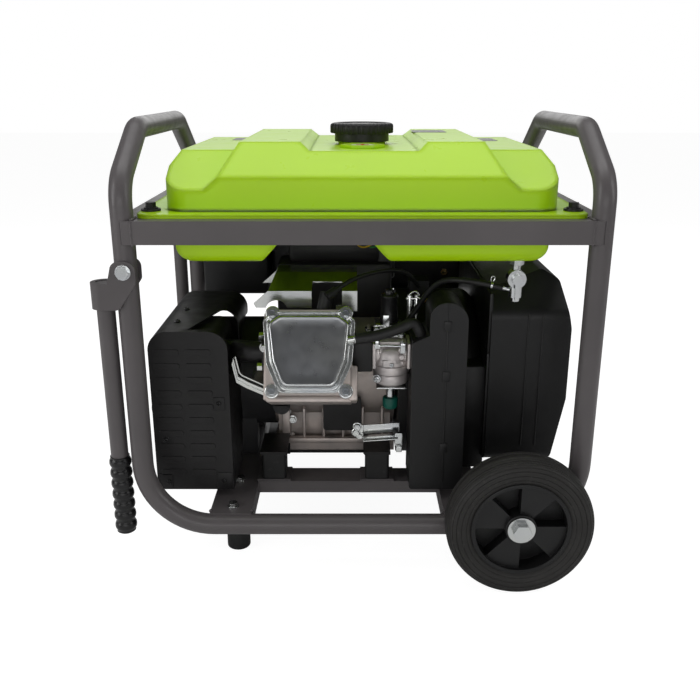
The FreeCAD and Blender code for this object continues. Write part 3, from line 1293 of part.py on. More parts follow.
def panel_sockets():
    """Round outlet bodies with a deep well and two contact holes."""
    bodies = []
    for x in SOCKET_X:
        front = V(x, PANEL_Y[1], SOCKET_AT_Z)
        back = V(0, -SOCKET_DEPTH, 0)
        body = rod(front + back * 1.6, front, SOCKET_BORE_R + 3 - HOLE_PLAY)
        flange = box((x - 30, x + 30), (PANEL_Y[1], PANEL_Y[1] + 4), (SOCKET_AT_Z - 30, SOCKET_AT_Z + 30))
        well = rod(front + back, front + V(0, 5, 0), SOCKET_BORE_R)
        pins = [rod(front + back * 1.5 + V(dx, 0, 0), front + V(dx, 0, 0), 2.5) for dx in (-9.5, 9.5)]
        ears = [box((x + dx - 4, x + dx + 4), (PANEL_Y[1], PANEL_Y[1] + 10), (SOCKET_AT_Z + 30, SOCKET_AT_Z + 38))
                for dx in (-22, 22)]
        pin = rod(V(x - 26, PANEL_Y[1] + 6, SOCKET_AT_Z + 34), V(x + 26, PANEL_Y[1] + 6, SOCKET_AT_Z + 34), 1.6)
        bodies.append(body.fuse([flange] + ears).cut([well] + pins).fuse(pin))
    return bodies


def socket_lid(x):
    """Hinged lid over one outlet."""
    y = PANEL_Y[1] + 4 + BODY_GAP
    disc = rod(V(x, y, SOCKET_AT_Z), V(x, y + 4, SOCKET_AT_Z), SOCKET_BORE_R + 6)
    arm = box((x - 14, x + 14), (y, y + 4), (SOCKET_AT_Z + 10, SOCKET_AT_Z + 34))
    eye = rod(V(x - 14, PANEL_Y[1] + 6, SOCKET_AT_Z + 34), V(x + 14, PANEL_Y[1] + 6, SOCKET_AT_Z + 34), 3.4)
    tab = box((x - 6, x + 6), (y, y + 7), (SOCKET_AT_Z - SOCKET_BORE_R - 8, SOCKET_AT_Z - SOCKET_BORE_R - 3))
    pin = rod(V(x - 26, PANEL_Y[1] + 6, SOCKET_AT_Z + 34), V(x + 26, PANEL_Y[1] + 6, SOCKET_AT_Z + 34),
              1.6 + RUNNING)
    return disc.fuse([arm, eye, tab]).cut(pin)


def rocker(place):
    """Rocker on a crosswise pin in its frame."""
    x, z, half_x, half_z = place
    y = PANEL_Y[1]
    body = rod(V(x - half_x + 2.4, y - 4, z), V(x + half_x - 2.4, y - 4, z), 8)
    cap = plate(in_yz(x - half_x + 2.4, [(y - 3, z - half_z + 4), (y + 4.5, z - half_z + 4), (y + 2.5, z),
                                         (y + 4.5, z + half_z - 4), (y - 3, z + half_z - 4)]),
                V(2 * half_x - 4.8, 0, 0))
    hole = rod(V(x - half_x, y - 4, z), V(x + half_x, y - 4, z), 1.5 + RUNNING)
    return body.fuse(cap).cut(hole)


def rocker_frame(place):
    """Snap-in frame round a rocker, with the pin it turns on."""
    x, z, half_x, half_z = place
    y = PANEL_Y[1]
    sleeve = box((x - half_x - 0.8, x + half_x + 0.8), (y - 16, y), (z - half_z - 0.8, z + half_z + 0.8))
    flange = box((x - half_x - 3, x + half_x + 3), (y, y + 2), (z - half_z - 3, z + half_z + 3))
    room = box((x - half_x + 2, x + half_x - 2), (y - 14, y + 5), (z - half_z + 2, z + half_z - 2))
    pin = rod(V(x - half_x + 1, y - 4, z), V(x + half_x - 1, y - 4, z), 1.5)
    return sleeve.fuse(flange).cut(room).fuse(pin)


def voltmeter():
    """Round meter with a raised rim."""
    x, z = METER_AT
    y = PANEL_Y[1]
    body = rod(V(x, y - 18, z), V(x, y, z), METER_R - HOLE_PLAY)
    bezel = rod(V(x, y, z), V(x, y + 4, z), METER_R + 3).cut(rod(V(x, y + 2, z), V(x, y + 5, z), METER_R - 2))
    return body.fuse(bezel)


def earth_stud():
    """Earthing stud with its nut."""
    x, z = EARTH_AT
    y = PANEL_Y[1]
    nut = turned(hexagon(13, 6), V(x, y, z), V(0, 1, 0))
    head = turned(hexagon(13, 5), V(x, y - PANEL_WALL, z), V(0, -1, 0))
    return rod(V(x, y - PANEL_WALL - 2, z), V(x, y + 22, z), EARTH_R).fuse([nut, head])


# ---------------------------------------------------------------- export

def left_extent():
    return -handle_x() + TUBE_R + BODY_GAP + CHEEK


def save(name, shapes):
    """Write one node, moved so that the origin is under the middle of the machine."""
    solids = []
    for shape in shapes if isinstance(shapes, (list, tuple)) else [shapes]:
        solids += shape.Solids
    group = Part.makeCompound(solids) if len(solids) > 1 else solids[0].copy()
    group.translate(V((left_extent() - FRAME_X - TUBE_R) / 2, 0, 0))
    group.exportStep("parts/" + name + ".step")
    bounds = group.BoundBox
    print(f"{name:22s} {len(solids):2d} solids valid {group.isValid()} volume {group.Volume / 1000:9.1f} cm3"
          f" x {bounds.XMin:.1f} {bounds.XMax:.1f} y {bounds.YMin:.1f} {bounds.YMax:.1f}"
          f" z {bounds.ZMin:.1f} {bounds.ZMax:.1f}")


def print_hoses():
    """Radius, route length and filled volume of each hose and lead, against section times length."""
    for name, route, bends, radius in (("breather hose", BREATHER_ROUTE, BREATHER_BENDS, BREATHER_R),
                                       ("fuel hose", FUEL_ROUTE, easy_bends(FUEL_ROUTE), FUEL_HOSE_R),
                                       ("plug lead", LEAD_ROUTE, easy_bends(LEAD_ROUTE), LEAD_R)):
        length = rounded_wire(route, bends, False).Length
        volume = swept(route, bends, radius).Volume
        print(f"{name}: radius {radius} mm, length {length:.1f} mm, volume {volume:.0f} mm3"
              f" against {math.pi * radius ** 2 * length:.0f} mm3")


def main():
    os.makedirs("parts", exist_ok=True)
    for build in (frame_tubes, lift_arches, top_rails, rubber_feet, fuel_tank_upper, fuel_tank_lower,
                  fuel_cap, cap_seal, fuel_gauge, fuel_valve, fuel_valve_lever, fuel_hose, engine_mounts,
                  engine_cradle, crankcase, oil_dipstick, cylinder_head, valve_cover,
                  spark_plug_lead, cylinder_shroud, flywheel_fan, fan_housing,
                  recoil_housing, recoil_pulley, recoil_grip, alternator_housing,
                  muffler_shield, carburetor, choke_lever, governor_arm, air_cleaner_base,
                  air_cleaner_cover, breather_hose, control_panel, panel_sockets, voltmeter, earth_stud):
        save(build.__name__, build())
    save("floor_members", bottom_cross_members() + engine_rails() + foot_plates() + wheel_brackets()
         + mount_plates())
    save("frame_bolts", foot_bolts() + axle_bolts() + handle_pivot_bolts())
    save("tank_bolts", tank_bolts() + tank_washers())
    save("engine_bolts", crankcase_bolts() + valve_cover_bolts() + exhaust_nuts())
    save("muffler", [muffler(), exhaust_pipe()])
    save("ignition_parts", [*spark_plug(), ignition_coil()])
    save("crankshaft", [crankshaft(), alternator_rotor()])
    save("end_cover", [end_cover()] + cover_bushes())
    save("rocker_frames", [rocker_frame(place) for place in (SWITCH_AT, BREAKER_AT)])
    for side, label in SIDES:
        save(label + "_tyre", at_side(tyre(), side))
        save(label + "_wheel_hub", at_side(wheel_hub(), side))
        save(label + "_handle_bracket", at_side(handle_bracket(), side))
        save(label + "_handle_bar", [at_side(piece, side) for piece in handle_bar()])
        save(label + "_handle_grip", at_side(handle_grip(), side))
    for name, place in (("engine_switch", SWITCH_AT), ("main_breaker", BREAKER_AT)):
        save(name, rocker(place))
    for index, x in enumerate(SOCKET_X):
        save(f"socket_lid_{index + 1}", socket_lid(x))
    print_hoses()


main()
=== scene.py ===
"""Looks of the open-frame generator: materials, fine trim, hoses, light and camera."""
import json
import math
import random

import bmesh
import bpy
from mathutils import Matrix, Vector


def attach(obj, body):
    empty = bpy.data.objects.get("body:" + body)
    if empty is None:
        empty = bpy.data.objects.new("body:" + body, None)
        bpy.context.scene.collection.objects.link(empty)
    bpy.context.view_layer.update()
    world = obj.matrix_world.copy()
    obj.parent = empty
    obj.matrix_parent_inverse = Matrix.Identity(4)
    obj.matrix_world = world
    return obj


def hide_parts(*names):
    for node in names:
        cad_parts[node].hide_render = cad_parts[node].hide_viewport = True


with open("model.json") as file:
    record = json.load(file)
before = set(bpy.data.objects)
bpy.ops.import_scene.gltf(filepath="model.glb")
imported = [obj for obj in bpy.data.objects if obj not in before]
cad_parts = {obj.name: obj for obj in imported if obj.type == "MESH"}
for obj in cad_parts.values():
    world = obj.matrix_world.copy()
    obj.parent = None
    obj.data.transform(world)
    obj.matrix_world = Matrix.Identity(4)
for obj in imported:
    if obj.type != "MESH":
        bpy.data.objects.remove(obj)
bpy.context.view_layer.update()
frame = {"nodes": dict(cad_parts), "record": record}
MM = 0.001
FRAME_MIDDLE_X = 18.35
WHEEL_X, WHEEL_Y, WHEEL_Z = 235, 317, 110
FRAME_Y = 267
HANDLE_X = -368
CAP_PLACE = (1.5, -38, 660)
GAUGE_X, GAUGE_Y = 1.5, -125
CARB_Y, CARB_Z = -178, 334
COVER_BOLT_X, COVER_BOLT_Y = 56, 60
random.seed(7)


def at(x, y, z):
    """Point given in millimetres from the middle of the tube frame."""
    return Vector((x + FRAME_MIDDLE_X, y, z)) * MM


# ---------------------------------------------------------------- materials

class Finish:
    """A procedural material: colour variation, uneven gloss, grain and softened edges."""

    def __init__(self, name, colour, rough, metal=0.0, coat=0.0):
        self.material = bpy.data.materials.new(name)
        self.material.use_nodes = True
        self.tree = self.material.node_tree
        self.shader = self.tree.nodes["Principled BSDF"]
        self.colour = colour
        self.coords = self.tree.nodes.new("ShaderNodeTexCoord").outputs["Object"]
        self.shader.inputs["Metallic"].default_value = metal
        self.shader.inputs["Roughness"].default_value = rough
        self.shader.inputs["Coat Weight"].default_value = coat
        self.shader.inputs["Coat Roughness"].default_value = 0.16
        self.shader.inputs["Specular IOR Level"].default_value = 0.5 if metal else 0.32
        self.shader.inputs["Base Color"].default_value = (*colour, 1)
        self.rough = rough
        self.normal = None

    def node(self, kind, links=(), **settings):
        made = self.tree.nodes.new(kind)
        for key, value in settings.items():
            setattr(made, key, value)
        for socket, source in links:
            if hasattr(source, "links"):
                self.tree.links.new(source, made.inputs[socket])
            else:
                made.inputs[socket].default_value = source
        return made

    def noise(self, scale, detail=3.0, stretch=(1, 1, 1)):
        mapped = self.node("ShaderNodeMapping", [("Vector", self.coords), ("Scale", stretch)])
        return self.node("ShaderNodeTexNoise", [("Vector", mapped.outputs[0]), ("Scale", scale),
                                                ("Detail", detail)]).outputs["Fac"]

    def cells(self, scale):
        texture = self.node("ShaderNodeTexVoronoi", [("Vector", self.coords), ("Scale", scale)])
        return texture.outputs["Distance"]

    def remap(self, source, low, high, new_low, new_high):
        return self.node("ShaderNodeMapRange", [("Value", source), ("From Min", low), ("From Max", high),
                                                ("To Min", new_low), ("To Max", new_high)]).outputs[0]

    def blend(self, factor, first, second):
        """Colour mixed by a factor; either side is a colour or a socket."""
        mix = self.node("ShaderNodeMix", data_type="RGBA")
        for index, value in ((0, factor), (6, first), (7, second)):
            if hasattr(value, "links"):
                self.tree.links.new(value, mix.inputs[index])
            else:
                mix.inputs[index].default_value = value if index == 0 else (*value, 1)
        return mix.outputs[2]

    def vary(self, scale, amount, tint=(1, 1, 1), stretch=(1, 1, 1)):
        """Cloudy change of shade over the surface, towards a tint."""
        dark = tuple(c * (1 - amount) for c in self.colour)
        light = tuple(min(1.0, c * (1 + amount) * t) for c, t in zip(self.colour, tint))
        factor = self.remap(self.noise(scale, 4, stretch), 0.32, 0.68, 0, 1)
        self.shade = self.blend(factor, dark, light)
        self.tree.links.new(self.shade, self.shader.inputs["Base Color"])
        return self

    def specks(self, scale, colour, low, high):
        """Small spots of another colour."""
        factor = self.remap(self.noise(scale, 2), low, high, 0, 1)
        self.shade = self.blend(factor, self.shade, colour)
        self.tree.links.new(self.shade, self.shader.inputs["Base Color"])
        return self

    def gloss(self, scale, spread, stretch=(1, 1, 1)):
        """Uneven roughness."""
        source = self.noise(scale, 3, stretch)
        out = self.remap(source, 0.3, 0.7, self.rough - spread, self.rough + spread)
        self.tree.links.new(out, self.shader.inputs["Roughness"])
        return self

    def edges(self, radius, samples=4):
        self.normal = self.node("ShaderNodeBevel", [("Radius", radius)], samples=samples).outputs[0]
        self.tree.links.new(self.normal, self.shader.inputs["Normal"])
        return self

    def bump(self, height, depth):
        links = [("Height", height), ("Distance", depth)]
        if self.normal is not None:
            links.append(("Normal", self.normal))
        self.normal = self.node("ShaderNodeBump", links).outputs[0]
        self.tree.links.new(self.normal, self.shader.inputs["Normal"])
        return self


def powder_coat(name, colour, rough):
    made = Finish(name, colour, rough).vary(9, 0.07).gloss(45, 0.06).edges(0.0007)
    return made.bump(made.noise(650, 2), 0.00005).bump(made.noise(90, 2), 0.00005)


def gloss_paint(name, colour):
    made = Finish(name, colour, 0.30, coat=0.12).vary(5, 0.03).gloss(30, 0.03).edges(0.009, 8)
    return made.bump(made.noise(330, 1), 0.000006).bump(made.noise(14, 1), 0.00012)


def moulded(name, colour, rough, grain=1500.0):
    made = Finish(name, colour, rough).vary(12, 0.12).gloss(35, 0.05).edges(0.0009)
    return made.bump(made.cells(grain), 0.00006).bump(made.noise(40, 2), 0.00012)


def plating(name, colour, rough, tint=(1.02, 1.0, 0.93)):
    made = Finish(name, colour, rough, metal=1.0).vary(9, 0.08, tint).gloss(60, 0.035).edges(0.0005)
    return made.bump(made.noise(900, 1), 0.000004)


def casting(name, colour):
    made = Finish(name, colour, 0.48, metal=0.7).vary(24, 0.14, (1.03, 1.0, 0.97))
    made.gloss(120, 0.06).edges(0.0012)
    return made.bump(made.noise(700, 3), 0.00005).bump(made.noise(110, 3), 0.0001)


def elastic(name, colour, rough, scale=900.0):
    made = Finish(name, colour, rough).vary(20, 0.2).gloss(60, 0.06).edges(0.0006)
    return made.specks(140, tuple(c * 2.2 for c in colour), 0.62, 0.8).bump(made.noise(scale, 2), 0.00004)


FINISHES = {
    "frame_paint": powder_coat("frame_paint", (0.088, 0.080, 0.082), 0.36),
    "tank_paint": gloss_paint("tank_paint", (0.400, 0.660, 0.002)),
    "black_sheet": powder_coat("black_sheet", (0.0085, 0.0080, 0.0083), 0.45),
    "zinc": plating("zinc", (0.56, 0.58, 0.60), 0.22),
    "cast_alloy": casting("cast_alloy", (0.47, 0.425, 0.405)),
    "steel": plating("steel", (0.50, 0.49, 0.48), 0.34),
    "stator": powder_coat("stator", (0.020, 0.020, 0.021), 0.52),
    "black_plastic": moulded("black_plastic", (0.0065, 0.0065, 0.0068), 0.42),
    "gloss_black": moulded("gloss_black", (0.008, 0.008, 0.0085), 0.2, 2600.0),
    "rubber": elastic("rubber", (0.011, 0.011, 0.011), 0.46),
    "tyre_rubber": elastic("tyre_rubber", (0.0155, 0.0145, 0.0135), 0.58, 600.0),
    "brass": plating("brass", (0.78, 0.56, 0.24), 0.27),
}
EXTRA = {
    "teal": moulded("teal_cap", (0.004, 0.085, 0.062), 0.36),
    "bare_label": powder_coat("bare_label", (0.030, 0.032, 0.028), 0.30),
    "pale": moulded("pale_dial", (0.62, 0.66, 0.55), 0.35),
    "red": moulded("red_wire", (0.42, 0.010, 0.008), 0.35),
    "yellow": moulded("yellow_wire", (0.55, 0.33, 0.02), 0.35),
    "green": moulded("green_wire", (0.03, 0.22, 0.05), 0.35),
    "blued": plating("blued_zinc", (0.36, 0.39, 0.43), 0.24),
    # Darker zinc for the valve cover's flat middle: a painted dark reflection.
    "painted_dark_reflection_zinc": plating("painted_dark_reflection_zinc", (0.27, 0.28, 0.30), 0.30),
    "carb_alloy": casting("carb_alloy", (0.56, 0.53, 0.53)),
}

for part in frame["record"]["subparts"]:
    target = frame["nodes"][part["node"]]
    target.data.materials.clear()
    target.data.materials.append(FINISHES[part["material_slot"]].material)
frame["nodes"]["fuel_gauge"].data.materials[0] = FINISHES["tank_paint"].material


# ---------------------------------------------------------------- mesh tools

class Shape:
    """Closed forms gathered into one mesh, in millimetres from a place of its own."""

    def __init__(self, place=Matrix.Identity(4)):
        self.bm = bmesh.new()
        self.place = place

    def rings(self, loops, closed_start=True, closed_end=True):
        """Skin over loops of points; every loop has the same count."""
        rows = [[self.bm.verts.new(self.place @ Vector(p)) for p in loop] for loop in loops]
        count = len(rows[0])
        for lower, upper in zip(rows, rows[1:]):
            for k in range(count):
                after = (k + 1) % count
                self.bm.faces.new((lower[k], lower[after], upper[after], upper[k]))
        if closed_start:
            self.bm.faces.new(rows[0][::-1])
        if closed_end:
            self.bm.faces.new(rows[-1])
        return self

    def lathe(self, profile, centre, axis, segments=48, wave=None, hole=False):
        """Turn (radius, height) pairs about an axis; wave changes the radius by angle and row."""
        turn = Vector(axis).to_track_quat("Z", "Y").to_matrix()
        centre = Vector(centre)
        loops = []
        for row, (radius, height) in enumerate(profile):
            loop = []
            for k in range(segments):
                angle = math.tau * k / segments
                r, h = wave(radius, height, angle, row) if wave else (radius, height)
                loop.append(centre + turn @ Vector((r * math.cos(angle), r * math.sin(angle), h)))
            loops.append(loop)
        if hole:
            loops.append(loops[0])
            rows = [[self.bm.verts.new(self.place @ p) for p in loop] for loop in loops[:-1]]
            rows.append(rows[0])
            for lower, upper in zip(rows, rows[1:]):
                for k in range(segments):
                    after = (k + 1) % segments
                    self.bm.faces.new((lower[k], lower[after], upper[after], upper[k]))
            return self
        return self.rings(loops)

    def block(self, low, high, bevel=0.8, turn=None, about=None):
        """Box with softened edges, turned about a point where asked."""
        low, high = Vector(low), Vector(high)
        made = bmesh.ops.create_cube(self.bm, size=1)["verts"]
        middle, size = (low + high) / 2, high - low
        for v in made:
            v.co = Vector((v.co.x * size.x, v.co.y * size.y, v.co.z * size.z)) + middle
            if turn:
                v.co = turn @ (v.co - Vector(about)) + Vector(about)
        edges = list({e for v in made for e in v.link_edges})
        out = bmesh.ops.bevel(self.bm, geom=edges, offset=min(bevel, 0.45 * min(size)), segments=2,
                              affect="EDGES", profile=0.5)
        for v in {v for f in out["faces"] for v in f.verts} | {v for v in made if v.is_valid}:
            v.co = self.place @ v.co
        return self

    def pipe(self, points, radius, segments=12, tight=False):
        """Round bar along points, rounded at its corners."""
        path = [Vector(p) for p in points]
        if not tight:
            for _ in range(2):
                cut = [path[0]]
                for a, b in zip(path, path[1:]):
                    cut += [a.lerp(b, 0.25), a.lerp(b, 0.75)]
                path = cut + [path[-1]]
        loops = []
        side = None
        for k, point in enumerate(path):
            run = (path[min(k + 1, len(path) - 1)] - path[max(k - 1, 0)]).normalized()
            side = run.orthogonal() if side is None else side - run * side.dot(run)
            side.normalize()
            up = run.cross(side)
            loops.append([point + (side * math.cos(a) + up * math.sin(a)) * radius
                          for a in (math.tau * j / segments for j in range(segments))])
        return self.rings(loops)

    def make(self, name, finish, body="generator", sharp=38.0):
        bmesh.ops.recalc_face_normals(self.bm, faces=self.bm.faces)
        bmesh.ops.scale(self.bm, vec=(MM, MM, MM), verts=self.bm.verts)
        bmesh.ops.translate(self.bm, vec=(FRAME_MIDDLE_X * MM, 0, 0), verts=self.bm.verts)
        mesh = bpy.data.meshes.new(name)
        self.bm.to_mesh(mesh)
        self.bm.free()
        mesh.shade_smooth()
        mesh.set_sharp_from_angle(angle=math.radians(sharp))
        mesh.materials.append((FINISHES.get(finish) or EXTRA[finish]).material)
        piece = bpy.data.objects.new(name, mesh)
        bpy.context.scene.collection.objects.link(piece)
        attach(piece, body)
        return piece


def rounded(corners, radii, count=96):
    """Points spaced evenly round an outline with rounded corners."""
    dense = []
    total = len(corners)
    for k, corner in enumerate(corners):
        here = Vector(corner)
        back = Vector(corners[k - 1]) - here
        ahead = Vector(corners[(k + 1) % total]) - here
        half = back.angle(ahead) / 2
        reach = radii[k] / math.tan(half)
        start, end = here + back.normalized() * reach, here + ahead.normalized() * reach
        for step in range(13):
            t = step / 12
            dense.append((1 - t) ** 2 * start + 2 * t * (1 - t) * here + t * t * end)
    dense.append(dense[0])
    lengths = [0.0]
    for a, b in zip(dense, dense[1:]):
        lengths.append(lengths[-1] + (b - a).length)
    points = []
    index = 0
    for k in range(count):
        want = lengths[-1] * k / count
        while lengths[index + 1] < want:
            index += 1
        span = max(lengths[index + 1] - lengths[index], 1e-9)
        points.append(dense[index].lerp(dense[index + 1], (want - lengths[index]) / span))
    return points


def hex_bolt(shape, seat, out, flats, height, washer_r=0.0, washer=1.2):
    """Flanged hexagon head with a dished top."""
    turn = Vector(out).to_track_quat("Z", "Y").to_matrix()
    if washer_r:
        shape.lathe([(washer_r, 0), (washer_r, washer * 0.7), (washer_r - 0.4, washer)], seat, out, 32)
    reach = flats / math.sqrt(3)
    loops = []
    crown = height + washer
    for share, z in ((1.0, washer), (1.0, crown - 0.7), (0.9, crown), (0.55, crown), (0.5, crown - 0.5)):
        radius = reach * share
        loops.append([Vector(seat) + turn @ Vector((radius * math.cos(a), radius * math.sin(a), z))
                      for a in (math.tau * k / 6 for k in range(6))])
    shape.rings(loops)


def cross_screw(shape, seat, out, radius, washer_r=0.0):
    """Pan head with a cross recess, on a washer where asked."""
    base = 0.0
    if washer_r:
        base = 1.0
        shape.lathe([(washer_r, 0), (washer_r, 0.7), (washer_r - 0.3, 1.0)], seat, out, 32)

    def recess(r, h, angle, row):
        in_slot = abs(math.sin(2 * angle)) < 0.45
        return r, h - (radius * 0.45 if row >= 4 and in_slot else 0)

    rows = [(1.0, 0), (1.0, 0.35), (0.9, 0.55), (0.66, 0.66), (0.56, 0.68), (0.3, 0.7), (0.12, 0.7)]
    shape.lathe([(r * radius, base + h * radius) for r, h in rows], seat, out, 32, recess)


def weld(shape, start, end, size=2.3):
    """Row of overlapping ripples along a joint."""
    start, end = Vector(start), Vector(end)
    run = end - start
    steps = max(3, int(run.length / (size * 0.8)))
    loops = []
    side = run.orthogonal().normalized()
    up = run.normalized().cross(side)
    for k in range(steps * 3 + 1):
        t = k / (steps * 3)
        swell = size * (0.78 + 0.22 * abs(math.sin(math.pi * t * steps)) + random.uniform(-0.06, 0.06))
        if k in (0, steps * 3):
            swell *= 0.45
        centre = start + run * t
        loops.append([centre + (side * math.cos(a) + up * math.sin(a)) * swell
                      for a in (math.tau * j / 10 for j in range(10))])
    shape.rings(loops)


def label(name, corners, lift, finish="bare_label", thick=0.35, radius=4.0):
    """Thin blank plate on a flat top."""
    outline = rounded([(x, y) for x, y in corners], [radius] * len(corners), 64)
    shape = Shape()
    shape.rings([[Vector((p.x, p.y, z)) for p in outline] for z in (lift, lift + thick)])
    return shape.make(name, finish)


# ---------------------------------------------------------------- hoses and the lead

def hose(name, points, radius, node, finish):
    """Curve along a route, standing for the solid hose."""
    curve = bpy.data.curves.new(name, "CURVE")
    curve.dimensions = "3D"
    spline = curve.splines.new("NURBS")
    spline.points.add(len(points) - 1)
    for point, place in zip(spline.points, points):
        point.co = (*at(*place), 1)
    spline.order_u = 3
    spline.use_endpoint_u = True
    spline.resolution_u = 16
    curve.bevel_depth = radius * MM
    curve.bevel_resolution = 6
    curve.use_fill_caps = True
    curve.materials.append(FINISHES[finish].material)
    piece = bpy.data.objects.new(name, curve)
    bpy.context.scene.collection.objects.link(piece)
    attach(piece, "generator")
    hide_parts(node)
    line = bpy.data.meshes.new_from_object(plain_copy(curve))
    return piece


def plain_copy(curve):
    """Unlinked object with the curve's line and no thickness."""
    bare = curve.copy()
    bare.bevel_depth = 0
    return bpy.data.objects.new("measure", bare)


FUEL_ROUTE = [(214, -190, 440), (186, -190, 447), (152, -180, 450), (124, -148, 442),
              (104, -128, 414), (86, -124, 382), (64, -131, 354)]
LEAD_ROUTE = [(-40, -157, 428), (-18, -144, 441), (12, -124, 447), (42, -101, 448),
              (70, -76, 441), (90, -50, 423), (101, -22, 400)]
BREATHER_ROUTE = [(-9, -215, 366), (20, -216, 370), (56, -213, 381), (84, -206, 394), (91, -203, 369.2)]
hose("fuel_line", FUEL_ROUTE, 4.5, "fuel_hose", "rubber")
hose("ignition_lead", LEAD_ROUTE, 3.5, "spark_plug_lead", "rubber")
hose("breather_line", BREATHER_ROUTE, 8.5, "breather_hose", "rubber")


# ---------------------------------------------------------------- wheels and grips

def tyre_profile():
    """Section of the tyre: (radius, offset) with grooves in the wall and the tread."""
    outer = [(74.1, -20.6), (76.5, -21.4), (77.2, -22.6), (80.5, -23.6), (81.1, -22.9), (81.8, -23.8),
             (88, -24.8), (88.6, -24.1), (89.2, -24.9), (95.5, -24.9), (96.1, -24.0), (96.8, -24.8),
             (101.0, -24.2), (101.6, -23.1),
             (102.4, -23.5), (104.6, -22.3), (105.0, -21.0), (106.2, -21.0), (107.4, -19.0), (107.3, -17.8),
             (108.5, -17.4), (109.3, -14.6), (108.8, -13.8), (109.5, -13.2), (110, -9.4), (109.2, -8.8),
             (109.2, -7.4), (110, -6.8)]
    return outer + [(r, -y) for r, y in reversed(outer)]


def wheels_and_grips():
    """Ridged tyres, rim beads and ribbed handle grips on both sides."""
    for side, label_side in ((-1, "rear"), (1, "front")):
        wheel = Shape()
        wheel.lathe(tyre_profile(), (WHEEL_X, side * WHEEL_Y, WHEEL_Z), (0, 1, 0), 128, hole=True)
        made = wheel.make(label_side + "_ridged_tyre", "tyre_rubber", label_side + "_wheel", sharp=55)
        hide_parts(label_side + "_tyre")
        cap = Shape()
        cap.lathe([(74.0, 0), (74.0, 3.4), (72.6, 4.2), (70.4, 4.2), (69.6, 3.2), (69.6, 0)],
                  (WHEEL_X, side * 335.2, WHEEL_Z), (0, side, 0), 96, hole=True)
        cap.lathe([(23.4, 0), (23.4, 1.6), (22.4, 2.6), (21.2, 2.6), (20.8, 1.4), (20.8, 0)],
                  (WHEEL_X, side * 336.4, WHEEL_Z), (0, side, 0), 64, hole=True)
        cap.make(label_side + "_rim_beads", "black_plastic", label_side + "_wheel")

        grip = Shape()
        profile = [(8, 68.1), (12.2, 68.3), (14.4, 70)]
        pitch = (197 - 72) / 7
        for k in range(7):
            low = 72 + k * pitch
            profile += [(14.0, low), (14.2, low + 1.4), (15.7, low + 3.4), (16.5, low + 6.0),
                        (16.55, low + 8.6), (16.2, low + 11.4), (15.2, low + 13.8),
                        (14.1, low + 15.4), (13.9, low + 16.6)]
        profile += [(14.6, 197), (13.1, 197)]
        grip.lathe(profile, (HANDLE_X, side * FRAME_Y, 0), (0, 0, 1), 64)
        made = grip.make(label_side + "_ribbed_grip", "gloss_black", label_side + "_handle",
                         sharp=70)
        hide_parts(label_side + "_handle_grip")


# ---------------------------------------------------------------- fuel cap, gauge and bare labels

def cap_knurl(r, h, angle, row):
    ribs = 1.4 * max(0.0, math.cos(40 * angle)) ** 0.5 if 1 <= row <= 5 else 0.0
    return r - 1.5 + ribs, h


def ribbed_fuel_cap():
    """Cap with ribs round its rim and a skirt round the filler neck."""
    cap = Shape()
    cap.lathe([(44, 0.2), (50.2, 0.2), (50.8, 1.2), (50.8, 11.0), (50.2, 13.2), (48.6, 14.6), (46.6, 15.8),
               (43.5, 15.9),
               (42.2, 15.2), (41.4, 14.4), (20, 14.4), (2, 14.5)], CAP_PLACE, (0, 0, 1), 320, cap_knurl)
    cap.lathe([(43.5, -12.5), (43.5, 1), (40.6, 1), (40.6, -12.5)], CAP_PLACE, (0, 0, 1), 96, hole=True)
    made = cap.make("ribbed_fuel_cap", "black_plastic", "cap", sharp=50)
    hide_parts("fuel_cap")


def gauge_dial():
    """Pale window of the fuel gauge."""
    gauge = Shape()
    gauge.lathe([(20.6, 0), (20.6, 0.5), (20.0, 0.8)], (GAUGE_X, GAUGE_Y, 646.1), (0, 0, 1), 64)
    gauge.make("gauge_dial", "pale")


def gauge_pointer():
    """Pointer on the fuel gauge."""
    pointer = Shape()
    pointer.block((-8, -126.4, 647.0), (11, -123.6, 647.5), 0.2)
    pointer.lathe([(3.2, 0), (3.2, 0.9), (2.4, 1.3)], (GAUGE_X, GAUGE_Y, 646.9), (0, 0, 1), 24)
    pointer.make("gauge_pointer", "red")


# ---------------------------------------------------------------- valve cover

CYLINDER = Matrix.Translation((-80, 23, 234)) @ Matrix.Rotation(math.radians(65), 4, "X")


def cover_outline(grow, count):
    """Outline of the pressed valve cover, pushed out by grow."""
    base = [(-66, 46), (-50, 58), (50, 58), (66, 46), (60, -16), (42, -58), (-42, -58), (-60, -16)]
    corners = []
    for x, y in base:
        length = math.hypot(x, y)
        corners.append((x * (1 + grow / length), y * (1 + grow / length)))
    return rounded(corners, [10, 12, 12, 10, 22, 13, 13, 22], count)


